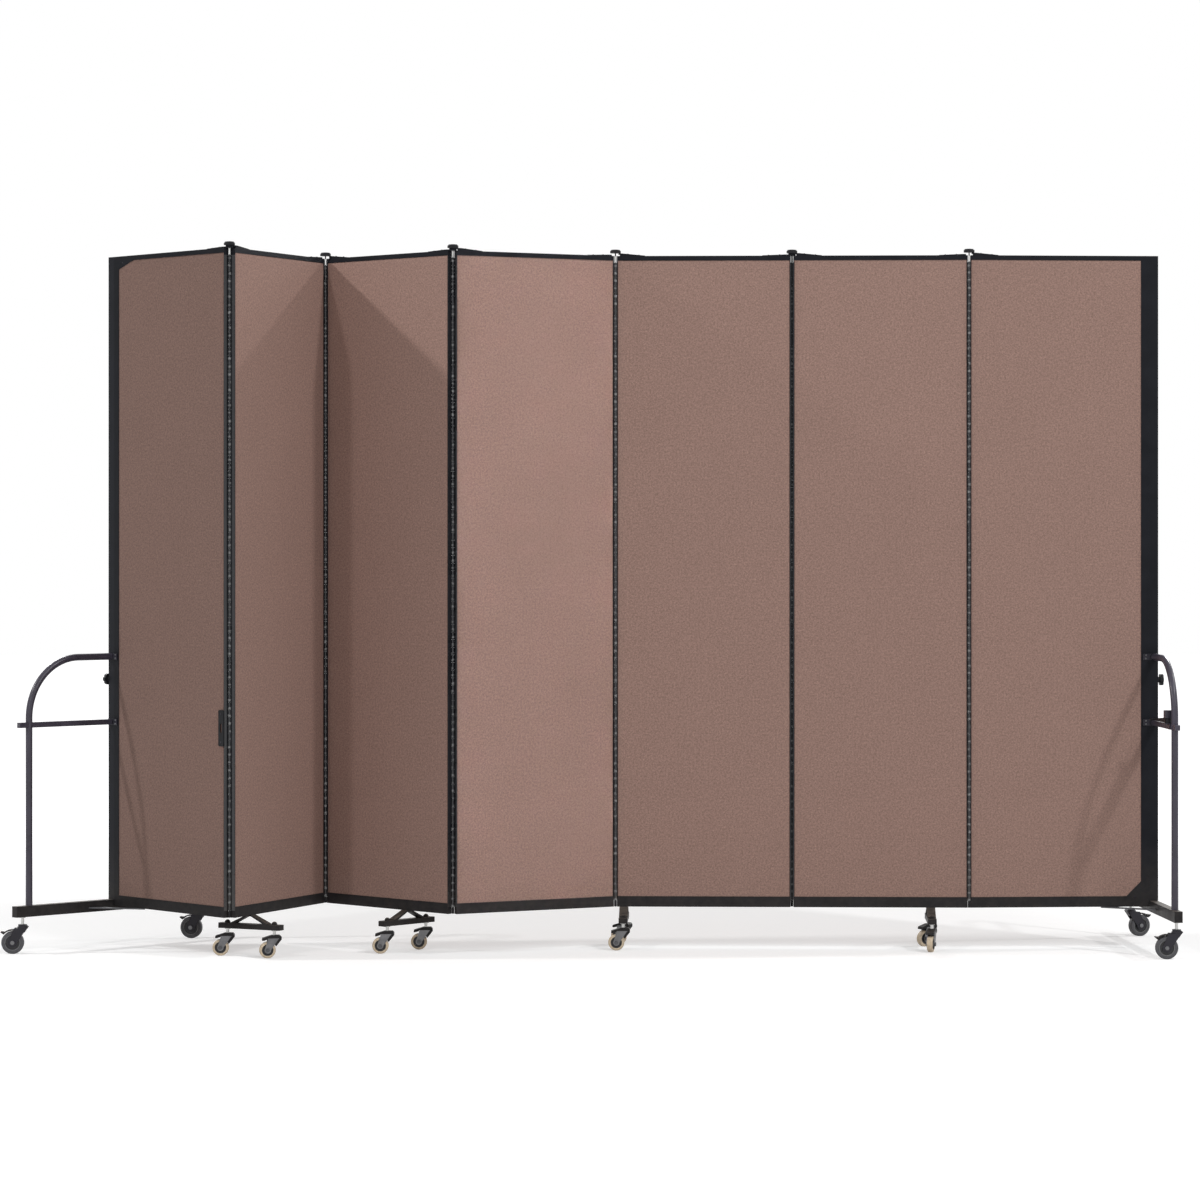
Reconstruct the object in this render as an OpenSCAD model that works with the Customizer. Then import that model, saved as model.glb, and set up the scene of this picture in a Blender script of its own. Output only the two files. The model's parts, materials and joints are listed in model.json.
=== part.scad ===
// Accordion folding partition: seven fabric panels joined by full-length
// hinges, carried on small casters and on an arched, wheeled frame at each end.
// Z is up and the floor is z = 0. X runs along the wall. -Y is the front.
// The origin is on the floor, under the middle of the partition as it stands.

/* [Panels] */
// Distance between the two hinge pins of an inner panel
panel_pitch = 570; // [480:5:600]
// Hinge pin to the outer edge of the stile on an end panel
end_panel_w = 587; // [580:1:620]
// Height of a panel frame
panel_h = 2103; // [1500:1:2300]
// Floor to the underside of the panel frames
panel_z = 133; // [130:1:150]
// Thickness of a panel frame
panel_t = 16; // [14:0.5:20]
// Visible height of the top channel
top_rail_h = 15; // [12:1:30]
// Visible height of the bottom channel
bottom_rail_h = 34; // [20:1:50]
// Width of the stile at the outer edge of an end panel
stile_w = 26; // [18:1:40]
// Width along the top channel of the triangle plate in panel 1's top corner
top_gusset_w = 80; // [40:5:120]
// Height of that plate
top_gusset_h = 27; // [15:1:60]
// Width and height of the plate in panel 7's bottom corner
low_gusset = 48; // [30:1:80]
// Lips of the channels, over the faces of the board
lip_t = 1; // [0.8:0.1:1.5]
// Web of the channels, round the edge of the board
web_t = 2; // [1.5:0.1:3]

/* [Standing pose] */
// Turn of the middle panel from the X axis
middle_yaw = 27; // [0:1:45]
// Folds of hinges 1 to 6 as the partition stands, 0 is straight
fold_1 = 111; // [90:1:120]
fold_2 = 107; // [90:1:115]
fold_3 = 70; // [50:1:90]
fold_4 = 29; // [10:1:45]
fold_5 = 0; // [0:1:5]
fold_6 = -6; // [-8:1:0]

/* [Hinges] */
// Diameter of the hinge knuckles
knuckle_d = 9; // [8:0.1:10]
// Diameter of the hinge pins
pin_d = 4; // [3:0.1:4.5]
// Length of one knuckle
knuckle_l = 24; // [20:1:60]
// Thickness of the hinge leaves
leaf_t = 1.6; // [1.2:0.1:2]
// Pin axis beyond the face of the panel frame
pin_proud = 1.5; // [1.4:0.1:2.5]
// The leaves stop this far short of the panel's top and bottom
leaf_stop = 22; // [10:1:40]
// Diameter of the caps on the hinges
cap_d = 35; // [28:0.5:36]
// Height of the caps
cap_h = 12; // [8:0.5:20]
// Length of the tapered straps on the top channels
strap_l = 96; // [50:1:140]
// Width of the straps
strap_w = 12; // [8:0.5:14]
// Thickness of a strap's eye round the pin
eye_t = 4; // [3:0.1:6]
// Radius of the eye
eye_r = 12; // [10:0.5:14]
// Thickness of the thin end of a strap
strap_tip_t = 1.2; // [1:0.1:3]

/* [End frames] */
// Side of the post beside the end panel's stile
post_w = 30; // [24:1:36]
// Thickness of the plates that tie the post to the stile
tie_t = 3; // [2:0.5:3]
// Height of those plates
tie_h = 20; // [14:1:30]
// Wall of the post tube
post_wall = 2; // [1.5:0.5:3]
// Plug that closes the top of the post
post_plug = 3; // [2:1:20]
// Diameter of the star knob that clamps the post to the stile
knob_d = 37; // [30:1:44]
// Thickness of the knob's star
knob_t = 11; // [8:1:16]
// Neck between the knob and the post
knob_neck = 6; // [3:1:12]
// Floor to the underside of the base rail
rail_z = 117; // [112:1:125]
// Height of the base rail
rail_h = 35; // [25:1:45]
// Width of the base rail
rail_w = 26; // [20:1:28]
// Foot of the corner brace on the base rail, from the panel
brace_rail = 95; // [70:1:130]
// Foot of the corner brace under the panel, from the base rail
brace_panel = 145; // [100:1:180]
// Width of the brace
brace_w = 22; // [14:1:30]
// Thickness of the brace
brace_t = 4; // [3:0.5:6]
// Middle of the frame to the end of the base rail
rail_reach = 386; // [370:1:420]
// Middle of the frame to the caster stems
stem_reach = 355; // [345:1:360]
// Middle of the frame to the legs of the arch
leg_reach = 330; // [300:1:335]
// Diameter of the arch tube
tube_d = 22; // [18:0.5:26]
// Floor to the middle of the tube at the top of the arch
arch_z = 940; // [850:5:1200]
// Radius of the bends, at the middle of the tube
bend_r = 190; // [120:5:240]
// Floor to the middle of the crossbar
crossbar_z = 728; // [600:1:735]
// Side of the square crossbar
crossbar_w = 17; // [12:0.5:20]
// The crossbar runs on past the legs by this much
crossbar_past = 40; // [20:1:60]
// Length of the latch arm on the right crossbar
latch_l = 190; // [150:5:230]
// Side of the square cap over the latch arm's pivot
latch_cap_w = 25; // [20:1:30]
// Crossbar to the top of that cap
latch_rise = 44; // [34:1:60]
// Width of the plate on panel 1 that the latch arm hooks onto
catch_w = 26; // [22:1:34]
// Height of that plate
catch_h = 114; // [60:1:140]
// Thickness of that plate
catch_t = 3; // [2:0.5:4]
// Width of the slot in it
catch_slot_w = 9; // [6:0.5:12]
// Length of the slot
catch_slot_l = 29; // [20:1:40]

/* [Caster beams] */
// Length of a caster beam
beam_l = 224; // [215:1:260]
// Width of a beam
beam_w = 28; // [24:1:34]
// Height of a beam
beam_h = 17; // [12:1:22]
// Underside of the panels to the top of the beam
beam_drop = 28; // [26:1:34]
// Spacing of the two stems on a beam
beam_stems = 172; // [150:1:176]
// Foot of the bent strap that hangs the beam, from its middle
hanger_reach = 66; // [50:1:68]
// Thickness of that strap
hanger_t = 4; // [3:0.5:6]
// Hinge to beam, on panels 2, 3, 5 and 6
beam_2_at = 115; // [100:1:120]
beam_3_at = 200; // [190:1:260]
beam_5_at = 27; // [24:1:30]
beam_6_at = 123; // [120:1:135]

/* [Casters] */
// Diameter of the wheels of the end frames
big_wheel_d = 72; // [65:1:76]
// Width of those wheels
big_wheel_w = 24; // [18:1:28]
// Stem to axle of those casters
big_trail = 31; // [28:1:34]
// Top of those wheels to the top of their crown
big_crown_up = 22; // [21:1:24]
// Diameter of the wheels under the beams
small_wheel_d = 52; // [46:1:54]
// Width of those wheels
small_wheel_w = 19; // [14:1:22]
// Stem to axle of those casters
small_trail = 22; // [20:1:24]
// Top of those wheels to the top of their hood
small_crown_up = 21; // [20:1:24]
// Diameter of the threaded stems
stem_d = 10; // [8:0.5:11]
// Diameter of the axle bolts
axle_d = 8; // [6:0.5:9]
// Thickness of the fork legs
leg_t = 2.5; // [2:0.1:3.5]
// Thickness of the deck that joins the legs
deck_t = 3; // [2.5:0.5:4]
// Diameter of the hub, as a share of the wheel
hub_share = 0.7; // [0.6:0.01:0.76]
// Diameter of the brake lever's pin
lever_pin_d = 4; // [3:0.5:5]
// Thickness of the brake lever
lever_t = 4; // [3:0.5:5]

/* [Hidden] */
$fn = 48;
// Clearance of turning pieces
clear = 0.4;
// Joint line between pieces that are screwed or riveted together
seat = 0.05;
pin_clear = 0.4;
// Gap between a wheel and the legs of its fork
leg_gap = 0.8;
// Gap between a wheel's tread and what arches over it
tread_gap = 2.5;
panels = 7;
pin_off = panel_t / 2 + pin_proud;
leaf_back = knuckle_d / 2 + 0.3;
leaf_face = leaf_back - leaf_t;
edge_x = leaf_back + seat;
panel_top = panel_z + panel_h;
board_t = panel_t - 2 * lip_t;
leaf_len = panel_h - 2 * leaf_stop;
knuckles = 2 * floor(leaf_len / knuckle_l / 2) + 1;
knuckle_pitch = leaf_len / knuckles;
eye_gap = 0.3;
cap_z = panel_top + seat + 2 * (eye_t + eye_gap);
frame_x = end_panel_w + post_w / 2;
rail_top = rail_z + rail_h;
beam_z = panel_z - beam_drop - beam_h;
big_crown_z = big_wheel_d + big_crown_up;
small_crown_z = small_wheel_d + small_crown_up;
knob_z = (arch_z + crossbar_z) / 2 + 32;
weld_y = panel_t / 2 + tie_t + 2 * seat;
// The latch arm's pivot: in from the leg, and inboard of the crossbar's middle
latch_at = leg_reach - 38;
latch_in = 13;
latch_pin_d = 6;
latch_h = 16;
latch_seat_t = 3;
crossbar_top = crossbar_z + crossbar_w / 2;
// Casters: the stem's end in the crown and the room under it, the washer and the nut
stem_in = 12;
stem_room = 1.5;
washer_t = 3;
nut_h = 5;
// Height of the crown above the fork's deck, and how far the legs start behind the stem
big_housing = 12;
small_housing = 10;
big_rear = -14;
small_rear = -13;
// Front edge of the small fork's legs at the deck, and the hood's step in front of it
small_front = 20;
hood_step = 1.5;
// The brake lever's pin: its angle round the axle, and its boss above the tread gap
lever_angle = 106;
lever_up = 0.7;
lever_boss_d = lever_pin_d + 5;
lever_at = [big_trail, big_wheel_d / 2]
    + (big_wheel_d / 2 + tread_gap + lever_boss_d / 2 + lever_up) * [cos(lever_angle), sin(lever_angle)];

// Panel yaws, from the middle panel outwards. Odd hinges bend towards the
// front and even ones away from it.
yaw_4 = middle_yaw;
yaw_3 = yaw_4 - fold_3;
yaw_2 = yaw_3 + fold_2;
yaw_1 = yaw_2 - fold_1;
yaw_5 = yaw_4 - fold_4;
yaw_6 = yaw_5 + fold_5;
yaw_7 = yaw_6 - fold_6;
yaws = [0, yaw_1, yaw_2, yaw_3, yaw_4, yaw_5, yaw_6, yaw_7];

// Side of the pin between panels k and k + 1: 1 behind, -1 in front
function pin_side(k) = k % 2 == 1 ? 1 : -1;
function turned(v, a) = [v[0] * cos(a) - v[1] * sin(a), v[0] * sin(a) + v[1] * cos(a)];
function panel_w(n) = n == 1 || n == panels ? end_panel_w : panel_pitch;
// Place of panel n's left end, at the middle of its thickness
function place(n) = n == 1 ? [0, 0] :
    place(n - 1) + turned([panel_w(n - 1), pin_side(n - 1) * pin_off], yaws[n - 1])
    - turned([0, pin_side(n - 1) * pin_off], yaws[n]);

// Middle of the standing partition's box, which the origin lies under
left_end = place(1) - turned([post_w / 2, rail_reach + big_trail], yaw_1);
left_back = place(1) + turned([-post_w / 2, rail_reach + big_trail], yaw_1);
right_front = place(panels) + turned([frame_x, -rail_reach - big_trail], yaw_7);
right_back = place(panels) + turned([frame_x, rail_reach + big_trail], yaw_7);
middle = [(left_end[0] + right_front[0]) / 2,
    (right_front[1] + max(left_back[1], right_back[1])) / 2];

// Swivel of each caster as it stands, as the direction from stem to axle
end_swivels = [[183, 172], [178, 20]];
beam_swivels = [[190, 180], [180, 180], [180, 150], [255, 215]];

// ---------- places ----------

// Puts its children on panel n: X along the panel from its left pin, -Y in front
module on_panel(n) {
    p = place(n) - middle;
    translate([p[0], p[1], 0]) rotate([0, 0, yaws[n]]) children();
}

// Puts its children on the left (side 1) or right (side 7) end frame
module on_end(side) {
    if (side == 1) on_panel(1) translate([-post_w / 2, 0, 0]) mirror([1, 0, 0]) children();
    else on_panel(panels) translate([frame_x, 0, 0]) children();
}

// Where the beam of panel n stands, along the panel from its left pin
function beam_x(n) = n == 2 ? beam_2_at : n == 3 ? panel_pitch - beam_3_at :
    n == 5 ? beam_5_at : panel_pitch - beam_6_at;

// A box from one corner to the other
module block(low, high) {
    translate(low) cube(high - low);
}

// ---------- panels ----------

// One leaf of a full-length hinge, on the edge of a panel. dir is 1 where the
// panel runs to +X from the pin, side is the pin's side, and first tells
// whether the leaf holds the lowest knuckle.
module hinge_leaf(dir, side, first) {
    tab_out = side * pin_off;
    plate_in = -side * panel_t / 2;
    plate_out = side * (pin_off - sqrt(pow(knuckle_d / 2, 2) - pow(leaf_face, 2)) - clear);
    translate([0, 0, panel_z + leaf_stop]) difference() {
        union() {
            block([min(dir * leaf_back, dir * leaf_face), min(plate_in, plate_out), 0],
                [max(dir * leaf_back, dir * leaf_face), max(plate_in, plate_out), leaf_len]);
            for (k = [(first ? 0 : 1):2:knuckles - 1])
                translate([0, 0, k * knuckle_pitch + clear / 2])
                    linear_extrude(knuckle_pitch - clear) knuckle_outline(dir, side, tab_out);
        }
        translate([0, tab_out, -1]) cylinder(d = pin_d + 2 * pin_clear, h = leaf_len + 2);
    }
}

// The rolled knuckle and its root on the leaf, seen from above
module knuckle_outline(dir, side, tab_out) {
    translate([0, tab_out]) circle(d = knuckle_d);
    translate([dir > 0 ? leaf_face : -leaf_back, side > 0 ? 0 : -pin_off]) square([leaf_t, pin_off]);
}

// The flat strap on top of a channel and its eye round the pin
module hinge_strap(dir, side, upper) {
    foot_z = panel_top + seat;
    eye_z = foot_z + (upper ? eye_t + eye_gap : 0);
    body_h = upper ? 2 * eye_t + eye_gap : eye_t;
    half = strap_w / 2;
    neck = eye_r + 2;
    body_end = neck + half;
    taper_end = neck + 8;
    difference() {
        union() {
            translate([0, side * pin_off, eye_z]) cylinder(r = eye_r, h = eye_t);
            translate([0, 0, eye_z]) linear_extrude(eye_t)
                polygon([[0, side * (pin_off + eye_r * 0.6)], [dir * neck, half], [dir * body_end, half],
                    [dir * body_end, -half], [dir * neck, -half], [0, side * (pin_off - eye_r * 0.9)]]);
            translate([0, half, 0]) rotate([90, 0, 0]) linear_extrude(strap_w)
                polygon([[dir * neck, foot_z], [dir * strap_l, foot_z],
                    [dir * strap_l, foot_z + strap_tip_t],
                    [dir * taper_end, foot_z + body_h], [dir * neck, foot_z + body_h]]);
        }
        translate([0, side * pin_off, eye_z - 1]) cylinder(d = pin_d + 2 * pin_clear, h = eye_t + 2);
    }
}

// Channels round the board of panel n. x0 and x1 are the panel's own edges.
module perimeter(x0, x1, left_w, right_w) {
    slot = board_t / 2;
    difference() {
        block([x0, -panel_t / 2, panel_z], [x1, panel_t / 2, panel_top]);
        block([x0 + left_w, -panel_t, panel_z + bottom_rail_h],
            [x1 - right_w, panel_t, panel_top - top_rail_h]);
        block([x0 + web_t, -slot, panel_z + web_t], [x1 - web_t, slot, panel_top - web_t]);
    }
}

function edge_0(n) = n == 1 ? 0 : edge_x;
function edge_1(n) = panel_w(n) - (n == panels ? 0 : edge_x);

// Triangle plate in a corner of an end panel's front face
module corner_gusset(corner, reach) {
    translate([0, -board_t / 2, 0]) rotate([90, 0, 0]) linear_extrude(lip_t)
        polygon([corner, corner + [reach[0], 0], corner + [0, reach[1]]]);
}

module panel_frame(n) {
    color("#1d1b1f") on_panel(n) {
        perimeter(edge_0(n), edge_1(n), n == 1 ? stile_w : web_t, n == panels ? stile_w : web_t);
        if (n > 1) {
            hinge_leaf(1, pin_side(n - 1), false);
            hinge_strap(1, pin_side(n - 1), true);
        }
        if (n < panels) translate([panel_w(n), 0, 0]) {
            hinge_leaf(-1, pin_side(n), true);
            hinge_strap(-1, pin_side(n), false);
        }
        if (n == 1) corner_gusset([stile_w, panel_top - top_rail_h], [top_gusset_w, -top_gusset_h]);
        if (n == panels)
            corner_gusset([end_panel_w - stile_w, panel_z + bottom_rail_h], [-low_gusset, low_gusset]);
    }
}

// The fabric-covered board, with its edges in the channels
module panel_board(n) {
    color("#8d7568") on_panel(n)
        block([edge_0(n) + web_t, -board_t / 2, panel_z + web_t],
            [edge_1(n) - web_t, board_t / 2, panel_top - web_t]);
}

// Hinge pin k with its domed cap, at the right end of panel k
module hinge_pin(k) {
    color("#1d1b1f") on_panel(k) translate([panel_w(k), pin_side(k) * pin_off, 0]) {
        translate([0, 0, panel_z + leaf_stop]) cylinder(d = pin_d, h = cap_z - panel_z - leaf_stop + 1);
        translate([0, 0, cap_z]) rotate_extrude() cap_outline();
    }
}

// Half of a cap's section: a round lower edge and a domed top
module cap_outline() {
    r = cap_d / 2;
    edge_r = cap_h / 4;
    dome_r = cap_d * 2.3;
    square([r, cap_h - 2 * edge_r]);
    square([r - edge_r, cap_h - edge_r]);
    translate([r - edge_r, cap_h - 2 * edge_r]) circle(r = edge_r);
    intersection() {
        square([r - edge_r, cap_h]);
        translate([0, cap_h - dome_r]) circle(r = dome_r, $fn = 96);
    }
}

// ---------- end frames ----------

module end_post(side) {
    color("#1d1b1f") on_end(side) {
        difference() {
            block([seat - post_w / 2, -panel_t / 2, rail_top + seat], [post_w / 2, panel_t / 2, panel_top]);
            block([seat + post_wall - post_w / 2, post_wall - panel_t / 2, rail_top - 1],
                [post_w / 2 - post_wall, panel_t / 2 - post_wall, panel_top - post_plug]);
        }
        for (z = [arch_z, crossbar_z]) for (face = [0, 1]) mirror([0, face, 0]) tie_plate(z);
        clamp_knob();
    }
}

// Plate across the post and the panel's stile, on the front face
module tie_plate(z) {
    block([-post_w / 2 - stile_w * 0.75, -panel_t / 2 - seat - tie_t, z - tie_h / 2],
        [post_w / 2, -panel_t / 2 - seat, z + tie_h / 2]);
}

// Star knob that clamps the post to the stile: six round hollows between the points
module clamp_knob() {
    hollow_d = knob_d * 0.3;
    hollow_at = knob_d * 0.58;
    translate([post_w / 2 + seat, 0, knob_z]) rotate([0, 90, 0]) {
        cylinder(d = knob_d * 0.4, h = knob_neck);
        translate([0, 0, knob_neck]) linear_extrude(knob_t) difference() {
            circle(d = knob_d);
            for (a = [0:60:300]) rotate(a) translate([hollow_at, 0]) circle(d = hollow_d);
        }
        cylinder(d = knob_d * 0.5, h = knob_neck + knob_t + 2);
    }
}

// One half of the arch: a quarter bend from the post to the leg, and half a crossbar
module half_arch() {
    straight = leg_reach - bend_r;
    translate([0, -weld_y, arch_z]) rotate([90, 0, 0]) cylinder(d = tube_d, h = straight - weld_y);
    translate([0, -straight, arch_z - bend_r]) rotate([0, -90, 0]) rotate([0, 0, -90])
        rotate_extrude(angle = 90) translate([bend_r, 0]) circle(d = tube_d);
    translate([0, -leg_reach, rail_top + seat])
        cylinder(d = tube_d, h = arch_z - bend_r - rail_top - seat);
    block([-crossbar_w / 2, -leg_reach - crossbar_past, crossbar_z - crossbar_w / 2],
        [crossbar_w / 2, -weld_y, crossbar_z + crossbar_w / 2]);
}

module arch(side) {
    color("#2a2630") on_end(side) {
        for (m = [0, 1]) mirror([0, m, 0]) half_arch();
        if (side == panels) latch_bracket();
    }
}

// Bracket on the inboard side of the crossbar: the seat, pivot and square cap of the latch
module latch_bracket() {
    half = latch_cap_w / 2;
    arm_top = crossbar_top + latch_seat_t + latch_h + 2 * clear;
    block([-crossbar_w / 2 - latch_seat_t, -latch_at - half, crossbar_top - crossbar_w],
        [-crossbar_w / 2, -latch_at + half, crossbar_top]);
    translate([-latch_in, -latch_at, 0]) {
        block([-half, -half, crossbar_top], [half, half, crossbar_top + latch_seat_t]);
        translate([0, 0, crossbar_top]) cylinder(d = latch_pin_d, h = arm_top + 1 - crossbar_top);
        block([-half, -half, arm_top], [half, half, crossbar_top + latch_rise]);
    }
}

// The latch arm: it lies along the crossbar and swings inboard to hook the latch plate
module latch_arm() {
    bar_w = 10;
    tip_h = 6;
    hook = [14, 8];
    color("#1d1b1f") on_end(panels)
        translate([-latch_in, -latch_at, crossbar_top + latch_seat_t + clear]) difference() {
            union() {
                cylinder(d = latch_cap_w - 2, h = latch_h);
                translate([-bar_w / 2, 0, 0]) rotate([90, 0, 90]) linear_extrude(bar_w)
                    polygon([[0, 0], [latch_l, 0], [latch_l, tip_h], [latch_cap_w, latch_h], [0, latch_h]]);
                translate([-bar_w / 2 - hook[0], latch_l - hook[1], 0]) cube([hook[0] + 1, hook[1], tip_h]);
            }
            translate([0, 0, -1]) cylinder(d = latch_pin_d + 2 * clear, h = latch_h + 2);
        }
}

// Rounded plate on panel 1 that the latch arm hooks onto in the folded stack
module latch_plate() {
    corner = catch_w * 0.23;
    slot_at = (catch_slot_l - catch_slot_w) / 2;
    color("#1d1b1f") on_panel(1)
        translate([end_panel_w - edge_x - catch_w / 2, -panel_t / 2 - seat, crossbar_z]) rotate([90, 0, 0])
            linear_extrude(catch_t) difference() {
                union() {
                    square([catch_w - 2 * corner, catch_h], center = true);
                    square([catch_w, catch_h - 2 * corner], center = true);
                    for (x = [-1, 1]) for (y = [-1, 1])
                        translate([x * (catch_w / 2 - corner), y * (catch_h / 2 - corner)])
                            circle(r = corner);
                }
                for (y = [-slot_at, slot_at]) translate([0, y]) circle(d = catch_slot_w);
                square([catch_slot_w, 2 * slot_at], center = true);
            }
}

// Rail under the arch. The stems end in blind sockets, so its top stays flat.
module base_rail(side) {
    socket = rail_h - 5;
    color("#1d1b1f") on_end(side) {
        difference() {
            block([-rail_w / 2, -rail_reach, rail_z], [rail_w / 2, rail_reach, rail_top]);
            for (y = [-stem_reach, stem_reach]) translate([0, y, rail_z - 1])
                cylinder(d = stem_d + 1, h = socket + 1);
        }
        for (y = [-stem_reach, stem_reach]) translate([0, y, 0])
            stem(big_crown_z, rail_z, rail_z + socket - 1);
        for (m = [0, 1]) mirror([0, m, 0]) base_brace();
    }
}

// Flat strap across the corner between the base rail and the end panel
module base_brace() {
    half = brace_w / 2;
    on_rail = -rail_w / 2 - seat;
    translate([0, 0, panel_z - brace_t - seat]) linear_extrude(brace_t) polygon([
        [on_rail, -brace_rail - half], [on_rail, -brace_rail + half],
        [-post_w / 2 - brace_panel + half, 0], [-post_w / 2 - brace_panel - half, 0]]);
}

// ---------- casters ----------
// A caster is drawn with its stem on the Z axis and its axle towards +X.

// Threaded stem with a washer under the rail. crown is the top of the fork,
// low the underside of the rail, high the top of the stem.
module stem(crown, low, high) {
    translate([0, 0, crown - stem_in]) cylinder(d = stem_d, h = high - crown + stem_in);
    translate([0, 0, low - washer_t - seat]) cylinder(d = stem_d + 9, h = washer_t);
}

// Domed hexagon nut on top of a beam
module cap_nut(top) {
    translate([0, 0, top + seat]) cylinder(d = stem_d + 8, h = nut_h, $fn = 6);
    translate([0, 0, top + seat + nut_h]) intersection() {
        cylinder(d = stem_d + 4, h = nut_h);
        translate([0, 0, nut_h - stem_d]) sphere(r = stem_d);
    }
}

// Side view of a fork leg: wide at the deck, down to a round foot at the axle
module leg_outline(axle, deck_top, rear, front, foot_r) {
    translate(axle) circle(r = foot_r);
    polygon([[rear, deck_top], [front, deck_top], axle + [foot_r, 0], axle - [foot_r, 0]]);
}

// The two legs of a fork with their deck and the wheel's room between them
module legs(wheel_d, wheel_w, trail, deck_top, rear, deck_front, leg_front) {
    inner = wheel_w / 2 + leg_gap;
    axle = [trail, wheel_d / 2];
    difference() {
        union() {
            for (m = [0, 1]) mirror([0, m, 0]) translate([0, inner + leg_t, 0]) rotate([90, 0, 0])
                linear_extrude(leg_t) leg_outline(axle, deck_top, rear, leg_front, wheel_d * 0.2);
            block([rear, -inner - leg_t / 2, deck_top - deck_t], [deck_front, inner + leg_t / 2, deck_top]);
        }
        across(trail, wheel_d / 2, axle_d, inner + leg_t + 1);
    }
}

// A cylinder across the caster, of that diameter, from -reach to reach
module across(x, z, d, reach) {
    translate([x, reach, z]) rotate([90, 0, 0]) cylinder(d = d, h = 2 * reach);
}

// Bolt through the wheel, with a round head and a hexagon nut outside the legs
module axle_bolt(wheel_d, wheel_w, trail) {
    outer = wheel_w / 2 + leg_gap + leg_t + seat;
    across(trail, wheel_d / 2, axle_d - 0.6, outer + 3);
    translate([trail, -outer, wheel_d / 2]) rotate([90, 0, 0]) cylinder(d = axle_d + 5, h = 3);
    translate([trail, outer, wheel_d / 2]) rotate([-90, 0, 0]) cylinder(d = axle_d + 6, h = 4, $fn = 6);
}

// Hole for the stem's end in the top of a fork
module stem_hole(crown) {
    translate([0, 0, crown - stem_in - stem_room])
        cylinder(d = stem_d + 2 * clear, h = stem_in + 2 * stem_room);
}

// Fork of the end frames' casters: crown over the deck, a tail behind the stem
// and a pin for the brake lever
module big_fork() {
    deck_top = big_crown_z - big_housing;
    under = deck_top - deck_t;
    inner = big_wheel_w / 2 + leg_gap;
    front = lever_at[0] + 7;
    difference() {
        union() {
            legs(big_wheel_d, big_wheel_w, big_trail, deck_top, big_rear, front - 14, front);
            translate([0, 0, under]) cylinder(d = 28, h = deck_t + big_housing);
            translate([0, 0, deck_top]) cylinder(d = 33, h = big_housing * 0.4);
            big_tail(deck_top, big_wheel_w / 2 - 2);
        }
        stem_hole(big_crown_z);
        across(big_trail, big_wheel_d / 2, big_wheel_d + 2 * tread_gap, inner);
    }
    across(lever_at[0], lever_at[1], lever_pin_d, inner + leg_t / 2);
    axle_bolt(big_wheel_d, big_wheel_w, big_trail);
}

// The tail: from the crown out behind the stem and down towards the wheel
module big_tail(deck_top, half) {
    shoulder = big_crown_z - 3;
    translate([0, half, 0]) rotate([90, 0, 0]) linear_extrude(2 * half)
        polygon([[big_rear - 6, deck_top + 4], [big_rear, shoulder], [0, shoulder],
            [0, deck_top - deck_t], [-7, deck_top - 14], [big_rear + 1, deck_top - 5]]);
}

// Fork of the beams' casters, with a moulded hood that arches from a tail
// behind the stem to the front of the wheel
module small_fork() {
    deck_top = small_crown_z - small_housing;
    inner = small_wheel_w / 2 + leg_gap;
    difference() {
        union() {
            legs(small_wheel_d, small_wheel_w, small_trail, deck_top, small_rear, small_front, small_front);
            hood_cap(deck_top, inner + leg_t - seat);
            hood_tail(deck_top, inner - seat);
        }
        stem_hole(small_crown_z);
        across(small_trail, small_wheel_d / 2, small_wheel_d + 2 * tread_gap, inner);
    }
    axle_bolt(small_wheel_d, small_wheel_w, small_trail);
}

// The hood's cap over the deck, as wide as the fork
module hood_cap(deck_top, half) {
    nose = small_trail + 16;
    lip = deck_top - 7;
    under = deck_top + seat;
    behind = small_rear - seat;
    step = small_front + hood_step;
    translate([0, half, 0]) rotate([90, 0, 0]) linear_extrude(2 * half)
        polygon([[small_rear - 9, deck_top - 4], [small_rear - 9, small_crown_z - 5],
            [small_rear - 4, small_crown_z], [8, small_crown_z], [nose, small_crown_z - 9],
            [nose + 1, lip], [nose - 4, lip], [step, deck_top - deck_t], [step, under],
            [behind, under], [behind, deck_top - 4]]);
}

// The hood's tail between the legs, down behind the wheel
module hood_tail(deck_top, half) {
    under = deck_top - deck_t - seat;
    behind = small_rear - seat;
    translate([0, half, 0]) rotate([90, 0, 0]) linear_extrude(2 * half)
        polygon([[small_rear - 9, deck_top - 4], [behind, deck_top + seat], [behind, under],
            [8, under], [8, deck_top - 12], [-2, deck_top - 26], [-6, deck_top - 24]]);
}

// A wheel: a hub with a boss and a dished web, and a tyre with round shoulders
module wheel(wheel_d, wheel_w, trail) {
    r = wheel_d / 2;
    translate([trail, 0, r]) rotate([90, 0, 0]) rotate_extrude() {
        tyre_outline(r, wheel_w);
        hub_outline(r * hub_share, wheel_w);
    }
}

module tyre_outline(r, wheel_w) {
    inner = r * hub_share;
    shoulder = wheel_w * 0.24;
    translate([inner, -wheel_w / 2]) square([r - shoulder - inner, wheel_w]);
    translate([inner, shoulder - wheel_w / 2]) square([r - inner, wheel_w - 2 * shoulder]);
    for (y = [-1, 1]) translate([r - shoulder, y * (wheel_w / 2 - shoulder)]) circle(r = shoulder);
}

// Half of the hub's section, with the bore for the axle bolt
module hub_outline(hub_r, wheel_w) {
    bore_r = axle_d / 2 + clear;
    boss_r = axle_d / 2 + 3.5;
    rim_t = wheel_w - 1.6;
    web = wheel_w - 8;
    translate([bore_r, -wheel_w / 2]) square([boss_r - bore_r, wheel_w]);
    translate([bore_r, -web / 2]) square([hub_r + 0.5 - bore_r, web]);
    translate([hub_r - 2.5, -rim_t / 2]) square([3, rim_t]);
}

// A point at radius r and angle a round the big caster's axle
function round_axle(r, a) = [big_trail + r * cos(a), big_wheel_d / 2 + r * sin(a)];

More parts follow.
